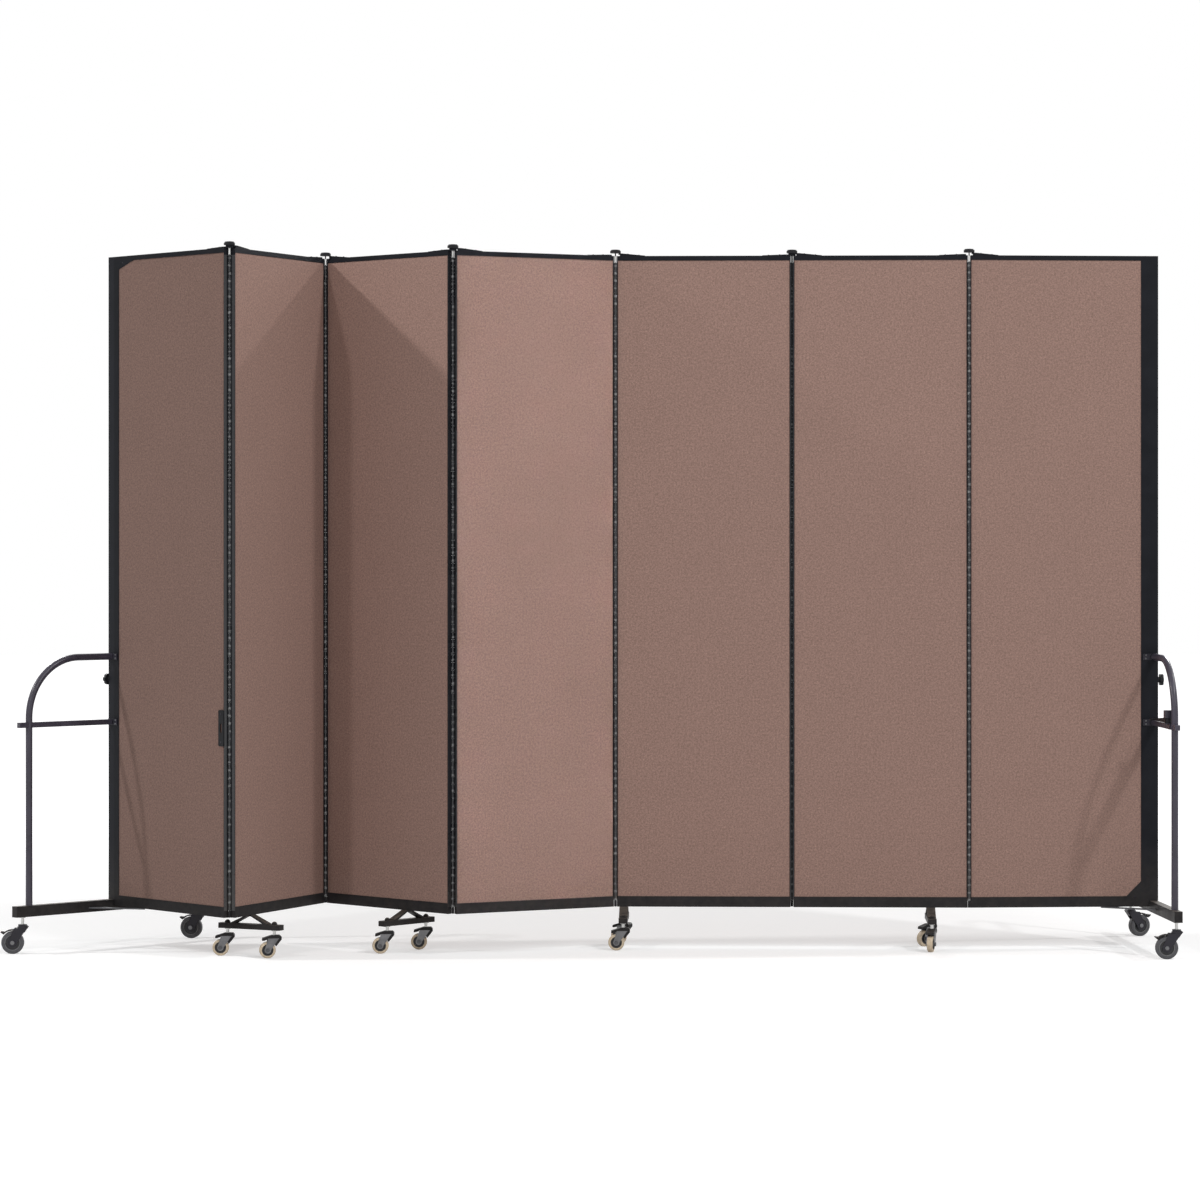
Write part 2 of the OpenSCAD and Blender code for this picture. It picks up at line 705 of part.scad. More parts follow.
// Brake lever: pinned between the fork's legs, it follows the wheel to an upturned tip
module brake_lever() {
    half_w = big_wheel_w / 2 + leg_gap - clear;
    inner = big_wheel_d / 2 + tread_gap;
    outer = inner + lever_t;
    far = 2 * outer;
    tip = 42;
    translate([0, half_w, 0]) rotate([90, 0, 0]) linear_extrude(2 * half_w) difference() {
        union() {
            translate(lever_at) circle(d = lever_boss_d);
            intersection() {
                translate([big_trail, big_wheel_d / 2]) difference() {
                    circle(r = outer, $fn = 96);
                    circle(r = inner, $fn = 96);
                }
                polygon([round_axle(0, 0), round_axle(far, tip), round_axle(far, (tip + lever_angle) / 2),
                    round_axle(far, lever_angle)]);
            }
            polygon([round_axle(inner, tip), round_axle(outer + 8, tip - 1),
                round_axle(outer + 9, tip + 2), round_axle(outer - 1, tip + 12),
                round_axle(inner, tip + 10)]);
        }
        translate(lever_at) circle(d = lever_pin_d + 2 * clear);
    }
}

module at_end_caster(side, row) {
    on_end(side) translate([0, row == 0 ? -stem_reach : stem_reach, 0])
        rotate([0, 0, end_turn(side, row)]) children();
}

// The swivel directions are given in the room, so the panel's yaw comes off
function end_turn(side, row) = side == 1 ? 180 - (end_swivels[0][row] - yaw_1) :
    end_swivels[1][row] - yaw_7;

module end_fork(side, row) {
    color("#232127") at_end_caster(side, row) big_fork();
}

module end_wheel(side, row) {
    color("#55555a") at_end_caster(side, row) wheel(big_wheel_d, big_wheel_w, big_trail);
}

module end_pedal(side, row) {
    color("#232127") at_end_caster(side, row) brake_lever();
}

module at_beam_caster(n, row) {
    k = n == 2 ? 0 : n == 3 ? 1 : n == 5 ? 2 : 3;
    on_panel(n) translate([beam_x(n), (row == 0 ? -1 : 1) * beam_stems / 2, 0])
        rotate([0, 0, beam_swivels[k][row] - yaws[n]]) children();
}

module beam_fork(n, row) {
    color("#232127") at_beam_caster(n, row) small_fork();
}

module beam_wheel(n, row) {
    color("#cfc2ab") at_beam_caster(n, row) wheel(small_wheel_d, small_wheel_w, small_trail);
}

// Cross beam under a panel, hung from it by a bent strap
module beam(n) {
    beam_top = beam_z + beam_h;
    color("#1d1b1f") on_panel(n) translate([beam_x(n), 0, 0]) {
        difference() {
            block([-beam_w / 2, -beam_l / 2, beam_z], [beam_w / 2, beam_l / 2, beam_top]);
            for (y = [-1, 1]) translate([0, y * beam_stems / 2, beam_z - 1])
                cylinder(d = stem_d + 1, h = beam_h + 2);
        }
        for (y = [-1, 1]) translate([0, y * beam_stems / 2, 0]) {
            stem(small_crown_z, beam_z, beam_top - 1);
            cap_nut(beam_top);
        }
        translate([-beam_w / 2, 0, 0]) rotate([90, 0, 90]) linear_extrude(beam_w)
            hanger_outline(panel_z - seat, beam_top + seat);
    }
}

// The bent strap seen along the panel: flat under the channel, legs to the beam
module hanger_outline(high, low) {
    flat = 10;
    foot = 12;
    polygon([[-flat, high], [flat, high], [hanger_reach, low + hanger_t * 0.6], [hanger_reach, low],
        [hanger_reach - foot, low], [flat - 2, high - hanger_t], [2 - flat, high - hanger_t],
        [foot - hanger_reach, low], [-hanger_reach, low], [-hanger_reach, low + hanger_t * 0.6]]);
}

panel_frame(1);  // panel_1_frame
panel_frame(2);  // panel_2_frame
panel_frame(3);  // panel_3_frame
panel_frame(4);  // panel_4_frame
panel_frame(5);  // panel_5_frame
panel_frame(6);  // panel_6_frame
panel_frame(7);  // panel_7_frame
panel_board(1);  // panel_1_board
panel_board(2);  // panel_2_board
panel_board(3);  // panel_3_board
panel_board(4);  // panel_4_board
panel_board(5);  // panel_5_board
panel_board(6);  // panel_6_board
panel_board(7);  // panel_7_board
hinge_pin(1);  // hinge_1_pin
hinge_pin(2);  // hinge_2_pin
hinge_pin(3);  // hinge_3_pin
hinge_pin(4);  // hinge_4_pin
hinge_pin(5);  // hinge_5_pin
hinge_pin(6);  // hinge_6_pin
end_post(1);  // left_post
arch(1);  // left_arch
base_rail(1);  // left_base_rail
latch_plate();
end_post(7);  // right_post
arch(7);  // right_arch
base_rail(7);  // right_base_rail
latch_arm();
beam(2);  // beam_2
beam(3);  // beam_3
beam(5);  // beam_5
beam(6);  // beam_6
end_fork(1, 0);  // left_front_fork
end_fork(1, 1);  // left_rear_fork
end_fork(7, 0);  // right_front_fork
end_fork(7, 1);  // right_rear_fork
end_wheel(1, 0);  // left_front_wheel
end_wheel(1, 1);  // left_rear_wheel
end_wheel(7, 0);  // right_front_wheel
end_wheel(7, 1);  // right_rear_wheel
end_pedal(1, 0);  // left_front_pedal
end_pedal(1, 1);  // left_rear_pedal
end_pedal(7, 0);  // right_front_pedal
end_pedal(7, 1);  // right_rear_pedal
beam_fork(2, 0);  // beam_2_front_fork
beam_fork(2, 1);  // beam_2_rear_fork
beam_fork(3, 0);  // beam_3_front_fork
beam_fork(3, 1);  // beam_3_rear_fork
beam_fork(5, 0);  // beam_5_front_fork
beam_fork(5, 1);  // beam_5_rear_fork
beam_fork(6, 0);  // beam_6_front_fork
beam_fork(6, 1);  // beam_6_rear_fork
beam_wheel(2, 0);  // beam_2_front_wheel
beam_wheel(2, 1);  // beam_2_rear_wheel
beam_wheel(3, 0);  // beam_3_front_wheel
beam_wheel(3, 1);  // beam_3_rear_wheel
beam_wheel(5, 0);  // beam_5_front_wheel
beam_wheel(5, 1);  // beam_5_rear_wheel
beam_wheel(6, 0);  // beam_6_front_wheel
beam_wheel(6, 1);  // beam_6_rear_wheel
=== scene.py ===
# %% [markdown]
# # Accordion folding partition
# A free-standing room divider: fabric-covered boards in black channels, joined by
# full-length hinges, standing on small casters and on an arched, wheeled frame at
# each end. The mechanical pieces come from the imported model, which is loaded first
# and never moved. This file gives every surface its finish, and it models the fabric,
# the bushes of the hinges and the screws as meshes of their own.

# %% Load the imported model
import json
import math

import bmesh
import bpy
from mathutils import Matrix, Vector, noise
from mathutils.bvhtree import BVHTree


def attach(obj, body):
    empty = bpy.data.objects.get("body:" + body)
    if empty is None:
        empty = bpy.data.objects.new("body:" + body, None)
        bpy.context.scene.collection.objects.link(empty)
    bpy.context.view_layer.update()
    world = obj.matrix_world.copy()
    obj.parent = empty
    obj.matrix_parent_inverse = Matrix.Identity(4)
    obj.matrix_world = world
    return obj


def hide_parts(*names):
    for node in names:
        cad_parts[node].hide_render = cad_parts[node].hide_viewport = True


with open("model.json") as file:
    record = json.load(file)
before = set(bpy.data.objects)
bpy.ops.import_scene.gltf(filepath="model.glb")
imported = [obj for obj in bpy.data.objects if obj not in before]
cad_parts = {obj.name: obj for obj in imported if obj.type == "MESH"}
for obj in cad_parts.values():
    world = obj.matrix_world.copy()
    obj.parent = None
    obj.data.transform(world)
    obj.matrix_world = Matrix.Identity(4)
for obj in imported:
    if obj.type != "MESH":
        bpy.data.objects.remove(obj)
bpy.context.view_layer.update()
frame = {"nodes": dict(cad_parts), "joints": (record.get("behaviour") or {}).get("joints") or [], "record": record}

nodes = frame["nodes"]
joints = {joint["name"]: joint for joint in frame["joints"]}
body_of_node = {
    node: body
    for body, members in frame["record"]["behaviour"]["bodies"].items()
    for node in members
}

# %% [markdown]
# ## Camera
# The photograph was taken from far away with a long lens, so the panels show almost
# no convergence. The lens and the distance were solved from the hinge positions. The
# camera is level, and a small vertical shift puts the horizon above the middle of the
# picture, as in the photograph. Tilting the camera would do that too, but then the
# upright lines would lean.

# %% Camera
PHOTO = 1200
FOCAL_PX = 3985
EYE_HEIGHT = 1.349
EYE_DISTANCE = 12.88
EYE_LEFT_OF_HINGE_4 = 0.050
HORIZON_PX = 530.4
SENSOR_MM = 36
CLIP_END = 100


def add_camera():
    """A level camera at the photograph's eye point."""
    lens = bpy.data.cameras.new("camera")
    lens.sensor_width = SENSOR_MM
    lens.lens = FOCAL_PX / PHOTO * lens.sensor_width
    lens.shift_y = -(PHOTO / 2 - HORIZON_PX) / PHOTO
    lens.clip_end = CLIP_END
    camera = bpy.data.objects.new("camera", lens)
    pin = joints["hinge_4"]["pos_m"]
    camera.location = (pin[0] - EYE_LEFT_OF_HINGE_4, pin[1] - EYE_DISTANCE, EYE_HEIGHT)
    camera.rotation_euler = (math.radians(90), 0, 0)
    bpy.context.scene.collection.objects.link(camera)
    bpy.context.scene.camera = camera
    return camera


camera = add_camera()
print(f"lens {camera.data.lens:.1f} mm at {tuple(round(x, 3) for x in camera.location)}")

# %% [markdown]
# ## Finding the pieces again
# Every panel stands at an angle of its own, so a cover or a screw would be tedious to
# place by hand, and would be wrong as soon as a panel changed. Each board is a box, so
# its four plan corners give the panel's own axes: along the panel, out of its front
# face, and up. The casters are found from their joints further down.

# %% Panel frames
UP = Vector((0, 0, 1))
TIE_BREAK = 1e-3


class PanelFrame:
    """A panel's own axes: along it, out of its front and up, from its middle."""

    def __init__(self, number):
        points = [vertex.co for vertex in nodes[f"panel_{number}_board"].data.vertices]
        self.low = min(p.z for p in points)
        self.high = max(p.z for p in points)
        plan = sorted({(round(p.x, 4), round(p.y, 4)) for p in points})
        corners = [Vector((x, y, 0)) for x, y in plan]
        start = min(corners, key=lambda c: c.x + c.y * TIE_BREAK)
        others = sorted((c for c in corners if c != start), key=lambda c: (c - start).length)
        self.thickness = (others[0] - start).length
        self.along = (others[1] - start).normalized()
        if self.along.x < 0:
            self.along.negate()
        self.length = (others[1] - start).length
        self.outward = Vector((self.along.y, -self.along.x, 0))
        self.centre = sum(corners, Vector()) / len(corners)
        self.number = number
        self.body = f"panel_{number}"

    def at(self, along, out, height):
        """A point given from the board's middle, its mid-plane and the floor."""
        return self.centre + self.along * along + self.outward * out + UP * height

    def matrix(self):
        """X along the panel, Y away from the viewer, Z up, on the floor under its middle."""
        turn = Matrix((self.along, -self.outward, UP)).transposed().to_4x4()
        return Matrix.Translation(self.centre) @ turn


PANELS = [PanelFrame(number) for number in range(1, 8)]
for panel in PANELS:
    yaw = math.degrees(math.atan2(panel.along.y, panel.along.x))
    print(f"panel {panel.number}: {panel.length:.3f} m wide, turned {yaw:.1f} degrees")

# %% [markdown]
# ## Helpers for materials
# A finish is a node tree: a Principled shader whose colour, roughness and bump come
# from noise. The noise could be laid out in world space, but then the grain would
# slide when a panel folds. So it is read in the piece's own coordinates, which move
# with the piece. `shader` starts a tree, `add_node` adds to it, and `link` joins two
# sockets.

# %% Material helpers
def shader(name, roughness=0.5, metallic=0.0, specular=0.5):
    """A new material with a Principled shader. Returns the material and its shader node."""
    material = bpy.data.materials.new(name)
    material.use_nodes = True
    principled = material.node_tree.nodes["Principled BSDF"]
    principled.inputs["Roughness"].default_value = roughness
    principled.inputs["Metallic"].default_value = metallic
    principled.inputs["Specular IOR Level"].default_value = specular
    return material, principled


def add_node(material, kind, **inputs):
    """A node of the given kind, with its input sockets set by name."""
    node = material.node_tree.nodes.new(kind)
    for socket, value in inputs.items():
        node.inputs[socket.replace("_", " ")].default_value = value
    return node


def link(material, source, target):
    """Joins an output socket to an input socket."""
    material.node_tree.links.new(source, target)


def noise_texture(material, scale, detail=2.0, roughness=0.5):
    """Noise in the piece's own coordinates. scale is in features per metre."""
    place = add_node(material, "ShaderNodeTexCoord")
    texture = add_node(
        material, "ShaderNodeTexNoise", Scale=scale, Detail=detail, Roughness=roughness
    )
    link(material, place.outputs["Object"], texture.inputs["Vector"])
    return texture


def colour_ramp(material, factor, stops):
    """A ramp from position and linear colour pairs."""
    ramp = add_node(material, "ShaderNodeValToRGB")
    elements = ramp.color_ramp.elements
    while len(elements) < len(stops):
        elements.new(0.5)
    for element, (position, colour) in zip(elements, stops):
        element.position = position
        element.color = (*colour, 1)
    link(material, factor, ramp.inputs["Fac"])
    return ramp


def bump(material, principled, height, strength, distance):
    """Bump on the shader from a height socket. distance is in metres."""
    node = add_node(material, "ShaderNodeBump", Strength=strength, Distance=distance)
    link(material, height, node.inputs["Height"])
    link(material, node.outputs["Normal"], principled.inputs["Normal"])


print("shader, noise, ramp and bump helpers ready")

# %% [markdown]
# ## Arithmetic and colour helpers
# Finishes are layered: dust over paint, slubs over yarn. Each layer needs a little
# arithmetic on sockets, which would take four lines a time. `combine` does one sum,
# `tinted` varies a colour, and `mix_colours` lays one colour over another. The mix
# node has a set of sockets for every data type, so the colour ones are named by number.

# %% Arithmetic and colour helpers
MIX_FACTOR, MIX_UNDER, MIX_OVER, MIX_RESULT = 0, 6, 7, 2


def combine(material, operation, *values):
    """A Math node whose inputs are sockets or plain numbers. Returns its value."""
    node = add_node(material, "ShaderNodeMath")
    node.operation = operation
    for socket, value in zip(node.inputs, values):
        if isinstance(value, (int, float)):
            socket.default_value = value
        else:
            link(material, value, socket)
    return node.outputs["Value"]


def tinted(material, colour, amount, contrast):
    """A colour made lighter and darker by up to contrast as amount runs from 0 to 1."""
    factor = combine(material, "MULTIPLY_ADD", amount, 2 * contrast, 1 - contrast)
    node = add_node(material, "ShaderNodeVectorMath")
    node.operation = "SCALE"
    link(material, colour, node.inputs[0])
    link(material, factor, node.inputs["Scale"])
    return node.outputs["Vector"]


def mix_colours(material, share, under, over):
    """A colour socket with a plain colour over it, by the share that a socket gives."""
    mixed = add_node(material, "ShaderNodeMix")
    mixed.data_type = "RGBA"
    link(material, share, mixed.inputs[MIX_FACTOR])
    link(material, under, mixed.inputs[MIX_UNDER])
    mixed.inputs[MIX_OVER].default_value = (*over, 1)
    return mixed.outputs[MIX_RESULT]


def linear(red, green, blue):
    """A linear colour from the 0 to 255 values that a screen shows."""
    def one(value):
        value /= 255
        return value / 12.92 if value <= 0.04045 else ((value + 0.055) / 1.055) ** 2.4
    return one(red), one(green), one(blue)


def shade(colour, factor):
    """A colour made darker or lighter by a factor."""
    return tuple(channel * factor for channel in colour)


print("arithmetic and colour helpers ready")

# %% [markdown]
# ## Panel fabric
# The boards are covered in a woven, heathered cloth, mauve-brown from afar. Such cloth
# is a plain weave of yarns that differ a little in colour and thickness, so from a few
# metres it looks finely speckled. Modelling each yarn would take millions of faces for
# nothing that the viewer could see, so the weave is a bump: two crossed waves make its
# over-and-under. Three noises of different size colour it: single yarns, slubs of some
# millimetres, and the broad, faint drift along a bolt of cloth. A little sheen gives
# the soft rim that fibres have.

# %% Fabric material
FABRIC = linear(152, 124, 114)
WEAVE_PITCH = 0.0022
YARNS_PER_METRE = 420
SLUBS_PER_METRE = 165
DRIFTS_PER_METRE = 5
YARN_TONES = ((0.30, 0.76), (0.50, 1.0), (0.72, 1.28))
WEAVE_CONTRAST = 0.06
SLUB_CONTRAST = 0.5
DRIFT_CONTRAST = 0.03
WEAVE_DEPTH = 0.0004


def wave(material, axis, pitch):
    """Soft bands across one axis, one every pitch. At scale 1 they would lie pi / 10 apart."""
    texture = add_node(
        material, "ShaderNodeTexWave",
        Scale=math.pi / (10 * pitch), Distortion=0.6, Detail=1.0, Detail_Scale=2.0,
    )
    texture.bands_direction = axis
    texture.wave_profile = "SIN"
    place = add_node(material, "ShaderNodeTexCoord")
    link(material, place.outputs["Object"], texture.inputs["Vector"])
    return texture


def panel_fabric():
    """Heathered cloth: a weave in the bump, and yarns, slubs and drift in the colour."""
    material, principled = shader("panel_fabric", roughness=0.95, specular=0.04)
    principled.inputs["Sheen Weight"].default_value = 0.05
    principled.inputs["Sheen Roughness"].default_value = 0.5
    across = wave(material, "X", WEAVE_PITCH)
    upwards = wave(material, "Z", WEAVE_PITCH)
    weave = combine(material, "MULTIPLY", across.outputs["Fac"], upwards.outputs["Fac"])
    heather = noise_texture(material, scale=YARNS_PER_METRE, detail=3, roughness=0.65)
    slubs = noise_texture(material, scale=SLUBS_PER_METRE, detail=2, roughness=0.7)
    drift = noise_texture(material, scale=DRIFTS_PER_METRE, detail=2)
    stops = [(place, shade(FABRIC, tone)) for place, tone in YARN_TONES]
    yarns = colour_ramp(material, heather.outputs["Fac"], stops)
    colour = tinted(material, yarns.outputs["Color"], weave, WEAVE_CONTRAST)
    colour = tinted(material, colour, slubs.outputs["Fac"], SLUB_CONTRAST)
    colour = tinted(material, colour, drift.outputs["Fac"], DRIFT_CONTRAST)
    link(material, colour, principled.inputs["Base Color"])
    height = combine(material, "ADD", weave, heather.outputs["Fac"])
    bump(material, principled, height, strength=0.35, distance=WEAVE_DEPTH)
    return material


fabric = panel_fabric()
print("fabric colour", [round(channel, 3) for channel in FABRIC])

# %% [markdown]
# ## Floor dust and painted bounce light
# Whatever stands on a floor collects dust near the floor, never evenly, and the floor
# throws light back up onto its low faces. A second, paler material on low faces would
# end in a hard line. Instead every painted finish mixes in a pale colour that stands for
# both the dust and painted bounce light: more of it near the floor and on faces that look
# up, and in patches from a noise.

# %% Floor dust and painted bounce light
# A pale colour that stands for floor dust and for painted bounce light from the floor.
DUST_AND_BOUNCE = linear(128, 118, 108)
DUST_AND_BOUNCE_TOP = 0.35
UPWARD_GAIN = 3


def dust_and_bounce(material, colour, share):
    """The colour with a pale mix over it, of floor dust and painted bounce light, strongest near the floor and on
    upward faces.
    """
    place = add_node(material, "ShaderNodeTexCoord")
    height = add_node(material, "ShaderNodeSeparateXYZ")
    link(material, place.outputs["Object"], height.inputs["Vector"])
    # Paler towards the floor: dust, and painted bounce light from the floor.
    fall = add_node(material, "ShaderNodeMapRange", From_Max=DUST_AND_BOUNCE_TOP, To_Min=1, To_Max=0)
    link(material, height.outputs["Z"], fall.inputs["Value"])
    facing = add_node(material, "ShaderNodeSeparateXYZ")
    link(material, place.outputs["Normal"], facing.inputs["Vector"])
    upward = combine(material, "MAXIMUM", facing.outputs["Z"], 0)
    facing_gain = combine(material, "MULTIPLY_ADD", upward, UPWARD_GAIN, 1)
    patches = noise_texture(material, scale=45, detail=5, roughness=0.65)
    pale_share = combine(material, "MULTIPLY", fall.outputs["Result"], patches.outputs["Fac"])
    pale_share = combine(material, "MULTIPLY", pale_share, facing_gain)
    return mix_colours(material, combine(material, "MULTIPLY", pale_share, share), colour, DUST_AND_BOUNCE)


print(f"dust fades out {DUST_AND_BOUNCE_TOP} m above the floor")

# %% [markdown]
# ## Painted finishes
# The channels, rails and beams are steel with a satin black powder coat. A plain black
# would look like a hole in the picture, because a real coat is never quite flat: its
# colour and gloss drift, and it has a fine orange peel. One function makes every coat
# of this kind, and the numbers tell them apart. The arched tube is smoother, and its
# paler, purplish colour is partly its own paint and partly a painted reflection of the
# room. The hinge leaves are glossier, and the mouldings are coarser.

# %% Painted finishes
UNEVEN = 0.15


def painted(name, colour, roughness, specular, peel=0.00006, grain=900, dust_and_bounce_share=0.30):
    """Paint or powder coat: slight colour drift, uneven gloss and a fine orange peel."""
    material, principled = shader(name, roughness=roughness, specular=specular)
    drift = noise_texture(material, scale=14, detail=4)
    tone = colour_ramp(material, drift.outputs["Fac"], [
        (0.35, shade(colour, 1 - UNEVEN)), (0.65, shade(colour, 1 + UNEVEN)),
    ])
    # The pale mix is floor dust and painted bounce light.
    link(material, dust_and_bounce(material, tone.outputs["Color"], dust_and_bounce_share), principled.inputs["Base Color"])
    gloss = colour_ramp(material, drift.outputs["Fac"], [
        (0.3, (roughness * (1 - UNEVEN),) * 3), (0.7, (roughness * (1 + UNEVEN),) * 3),
    ])
    link(material, gloss.outputs["Color"], principled.inputs["Roughness"])
    fine = noise_texture(material, scale=grain, detail=2)
    bump(material, principled, fine.outputs["Fac"], strength=0.4, distance=peel)
    return material


powder_coat = painted("powder_coat", (0.0115, 0.0122, 0.0155), roughness=0.45, specular=0.07)
hinge_coat = painted("hinge_coat", (0.010, 0.0105, 0.013), roughness=0.28, specular=0.5)
# The tube's purplish colour is partly its own paint and partly a painted reflection of the room.
tube_paint_and_reflection = painted(
    "tube_paint_and_reflection", (0.048, 0.043, 0.060), roughness=0.3, specular=0.3, peel=0.00002, dust_and_bounce_share=0.03
)
moulding = painted(
    "black_moulding", (0.011, 0.011, 0.013),
    roughness=0.5, specular=0.15, peel=0.0001, grain=500, dust_and_bounce_share=0.1,
)
fork_coat = painted("fork_coat", (0.020, 0.019, 0.026), roughness=0.36, specular=0.25, dust_and_bounce_share=0.03)
print(f"{len(bpy.data.materials)} materials so far")

# %% [markdown]
# ## Painted glints on the knuckles
# Down each hinge the knuckles catch the light as a row of bright dots. These glints are
# painted into the colour: the hinge's coat is copied, and a pale grey is laid over it in
# bands, one to a knuckle, that a noise breaks up. A material of its own on some faces
# would not do, because the bands have no edges that follow the faces.

# %% Painted glints on the knuckles
KNUCKLE_PITCH = 0.02435
# A pale grey, painted in as the glints of the knuckles.
GLINT_GREY = (0.19, 0.19, 0.19)
GLINT_FROM, GLINT_THROUGH = 0.38, 0.54


def glinting(name, coat, pitch):
    """A copy of a coat with a painted highlight: a patchy pale band at every pitch of height."""
    material = coat.copy()
    material.name = name
    principled = material.node_tree.nodes["Principled BSDF"]
    coat_colour = principled.inputs["Base Color"].links[0].from_socket
    bands = wave(material, "Z", pitch)
    patches = noise_texture(material, scale=90, detail=3)
    glint_bands = combine(material, "MULTIPLY", bands.outputs["Fac"], patches.outputs["Fac"])
    share = add_node(
        material, "ShaderNodeMapRange", From_Min=GLINT_FROM, From_Max=GLINT_THROUGH
    )
    link(material, glint_bands, share.inputs["Value"])
    # Painted highlight: the pale grey is laid over the coat in the glint bands.
    colour = mix_colours(material, share.outputs["Result"], coat_colour, GLINT_GREY)
    link(material, colour, principled.inputs["Base Color"])
    return material


knuckle_glint_coat = glinting("knuckle_glint_coat", hinge_coat, pitch=KNUCKLE_PITCH)
print(f"{knuckle_glint_coat.name}: a worn band every {KNUCKLE_PITCH * 1000:.1f} mm")

# %% [markdown]
# ## Plated metal and rubber
# The caster stems are zinc plated, the axle bolts and the legs of the small forks are
# darker steel, and the braces under the base rails a duller one. A grey paint would not
# do for these: what shows on metal is the room, so they use the shader's metallic
# side, slightly clouded and drawn. The large tyres are grey and the small ones cream,
# both matt, speckled and a little scuffed.

# %% Metal and rubber finishes
def plated(name, colour, roughness):
    """Zinc plate: metallic, slightly clouded, with fine drawn marks."""
    material, principled = shader(name, roughness=roughness, metallic=1.0)
    cloud = noise_texture(material, scale=60, detail=5)
    tone = colour_ramp(material, cloud.outputs["Fac"], [
        (0.3, shade(colour, 0.8)), (0.7, shade(colour, 1.1)),
    ])
    link(material, tone.outputs["Color"], principled.inputs["Base Color"])
    fine = noise_texture(material, scale=1500, detail=2)
    bump(material, principled, fine.outputs["Fac"], strength=0.2, distance=0.00003)
    return material


def rubber(name, colour, roughness):
    """Moulded rubber: matt, speckled and a little scuffed."""
    material, principled = shader(name, roughness=roughness, specular=0.35)
    scuff = noise_texture(material, scale=180, detail=6, roughness=0.7)
    tone = colour_ramp(material, scuff.outputs["Fac"], [
        (0.32, shade(colour, 0.72)), (0.55, colour), (0.75, shade(colour, 1.12)),
    ])
    link(material, tone.outputs["Color"], principled.inputs["Base Color"])
    bump(material, principled, scuff.outputs["Fac"], strength=0.4, distance=0.0002)
    return material


zinc = plated("zinc", (0.52, 0.52, 0.51), roughness=0.32)
leg_steel = plated("leg_steel", (0.16, 0.16, 0.165), roughness=0.42)
dull_steel = plated("dull_steel", (0.10, 0.10, 0.105), roughness=0.5)
grey_tyre = rubber("grey_tyre", (0.085, 0.085, 0.092), roughness=0.62)
cream_tyre = rubber("cream_tyre", linear(214, 196, 170), roughness=0.5)
hub_plastic = rubber("hub_plastic", (0.035, 0.035, 0.038), roughness=0.45)
rim_plastic = rubber("rim_plastic", (0.16, 0.16, 0.165), roughness=0.5)
print(f"{len(bpy.data.materials)} materials")

# %% [markdown]
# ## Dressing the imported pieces
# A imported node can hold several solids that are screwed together, such as a rail with
# its bright caster stems. They could be given finishes face by face, but a face's
# number changes whenever the model does. So each solid is found again as a loose part
# of the mesh, and a small test on its size or place picks its finish.

# %% Loose parts and finishes
def loose_parts(mesh):
    """The mesh's polygons, grouped into solids that share no corner."""
    owner = {}
    parent = {}

    def root(key):
        while parent[key] != key:
            parent[key] = parent[parent[key]]
            key = parent[key]
        return key

    for vertex in mesh.vertices:
        key = tuple(round(value, 5) for value in vertex.co)
        owner[vertex.index] = key
        parent.setdefault(key, key)
    for polygon in mesh.polygons:
        first = root(owner[polygon.vertices[0]])
        for index in polygon.vertices[1:]:
            parent[root(owner[index])] = first
    groups = {}
    for polygon in mesh.polygons:
        groups.setdefault(root(owner[polygon.vertices[0]]), []).append(polygon)
    return list(groups.values())


class Part:
    """The box of one solid, with the sizes that the finish tests use."""

    def __init__(self, mesh, polygons):
        points = [mesh.vertices[i].co for polygon in polygons for i in polygon.vertices]
        self.low = Vector(map(min, zip(*points)))
        self.high = Vector(map(max, zip(*points)))
        self.size = self.high - self.low
        self.centre = (self.high + self.low) / 2


def dress(node, main, rules=()):
    """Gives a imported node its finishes. rules is pairs of a test on a Part and a material."""
    mesh = nodes[node].data
    mesh.materials.clear()
    mesh.materials.append(main)
    slots = {main.name: 0}
    for polygons in loose_parts(mesh):
        part = Part(mesh, polygons)
        chosen = next((material for test, material in rules if test(part)), main)
        if chosen.name not in slots:
            slots[chosen.name] = len(mesh.materials)
            mesh.materials.append(chosen)
        for polygon in polygons:
            polygon.material_index = slots[chosen.name]


frame_mesh = nodes["panel_1_frame"].data
print(f"the frame of panel 1 is {len(loose_parts(frame_mesh))} solids")

# %% [markdown]
# ## Panels and hinges
# A hinge leaf is a long strip of glossier steel that runs the full height of its
# panel, so its slim, tall box gives it away among the parts of the frame. Its knuckles
# are part of the same solid, and only they get the painted glints. They are found by how
# close their faces lie to the pin of a hinge.

# %% Panels and hinges
LEAF_SPAN = 0.06
LEAF_HEIGHT = 2.0
BARREL = 0.0072
BARREL_LOW, BARREL_HIGH = 0.1541, 2.2149


def is_leaf(part):
    """A hinge leaf: slim in plan and as tall as the panel."""
    return part.size.xy.length < LEAF_SPAN and part.size.z > LEAF_HEIGHT


def in_barrel(point, pin):
    """Whether a point lies on the barrel that the knuckles make round a pin."""
    return BARREL_LOW < point.z < BARREL_HIGH and math.dist(point.xy, pin[:2]) < BARREL


def dress_knuckles(number):
    """Gives the knuckles of a panel their painted glints. Returns how many faces they have."""
    mesh = nodes[f"panel_{number}_frame"].data
    mesh.materials.append(knuckle_glint_coat)
    glint_slot = len(mesh.materials) - 1
    pins = [joints[f"hinge_{n}"]["pos_m"] for n in (number - 1, number) if f"hinge_{n}" in joints]
    count = 0
    for pin in pins:
        near = {vertex.index for vertex in mesh.vertices if in_barrel(vertex.co, pin)}
        for polygon in mesh.polygons:
            if near.issuperset(polygon.vertices):
                polygon.material_index = glint_slot
                count += 1
    return count


for number in range(1, 8):
    dress(f"panel_{number}_frame", powder_coat, [(is_leaf, hinge_coat)])
    print(f"panel {number}: {dress_knuckles(number)} knuckle faces")
for number in range(1, 7):
    dress(f"hinge_{number}_pin", moulding)

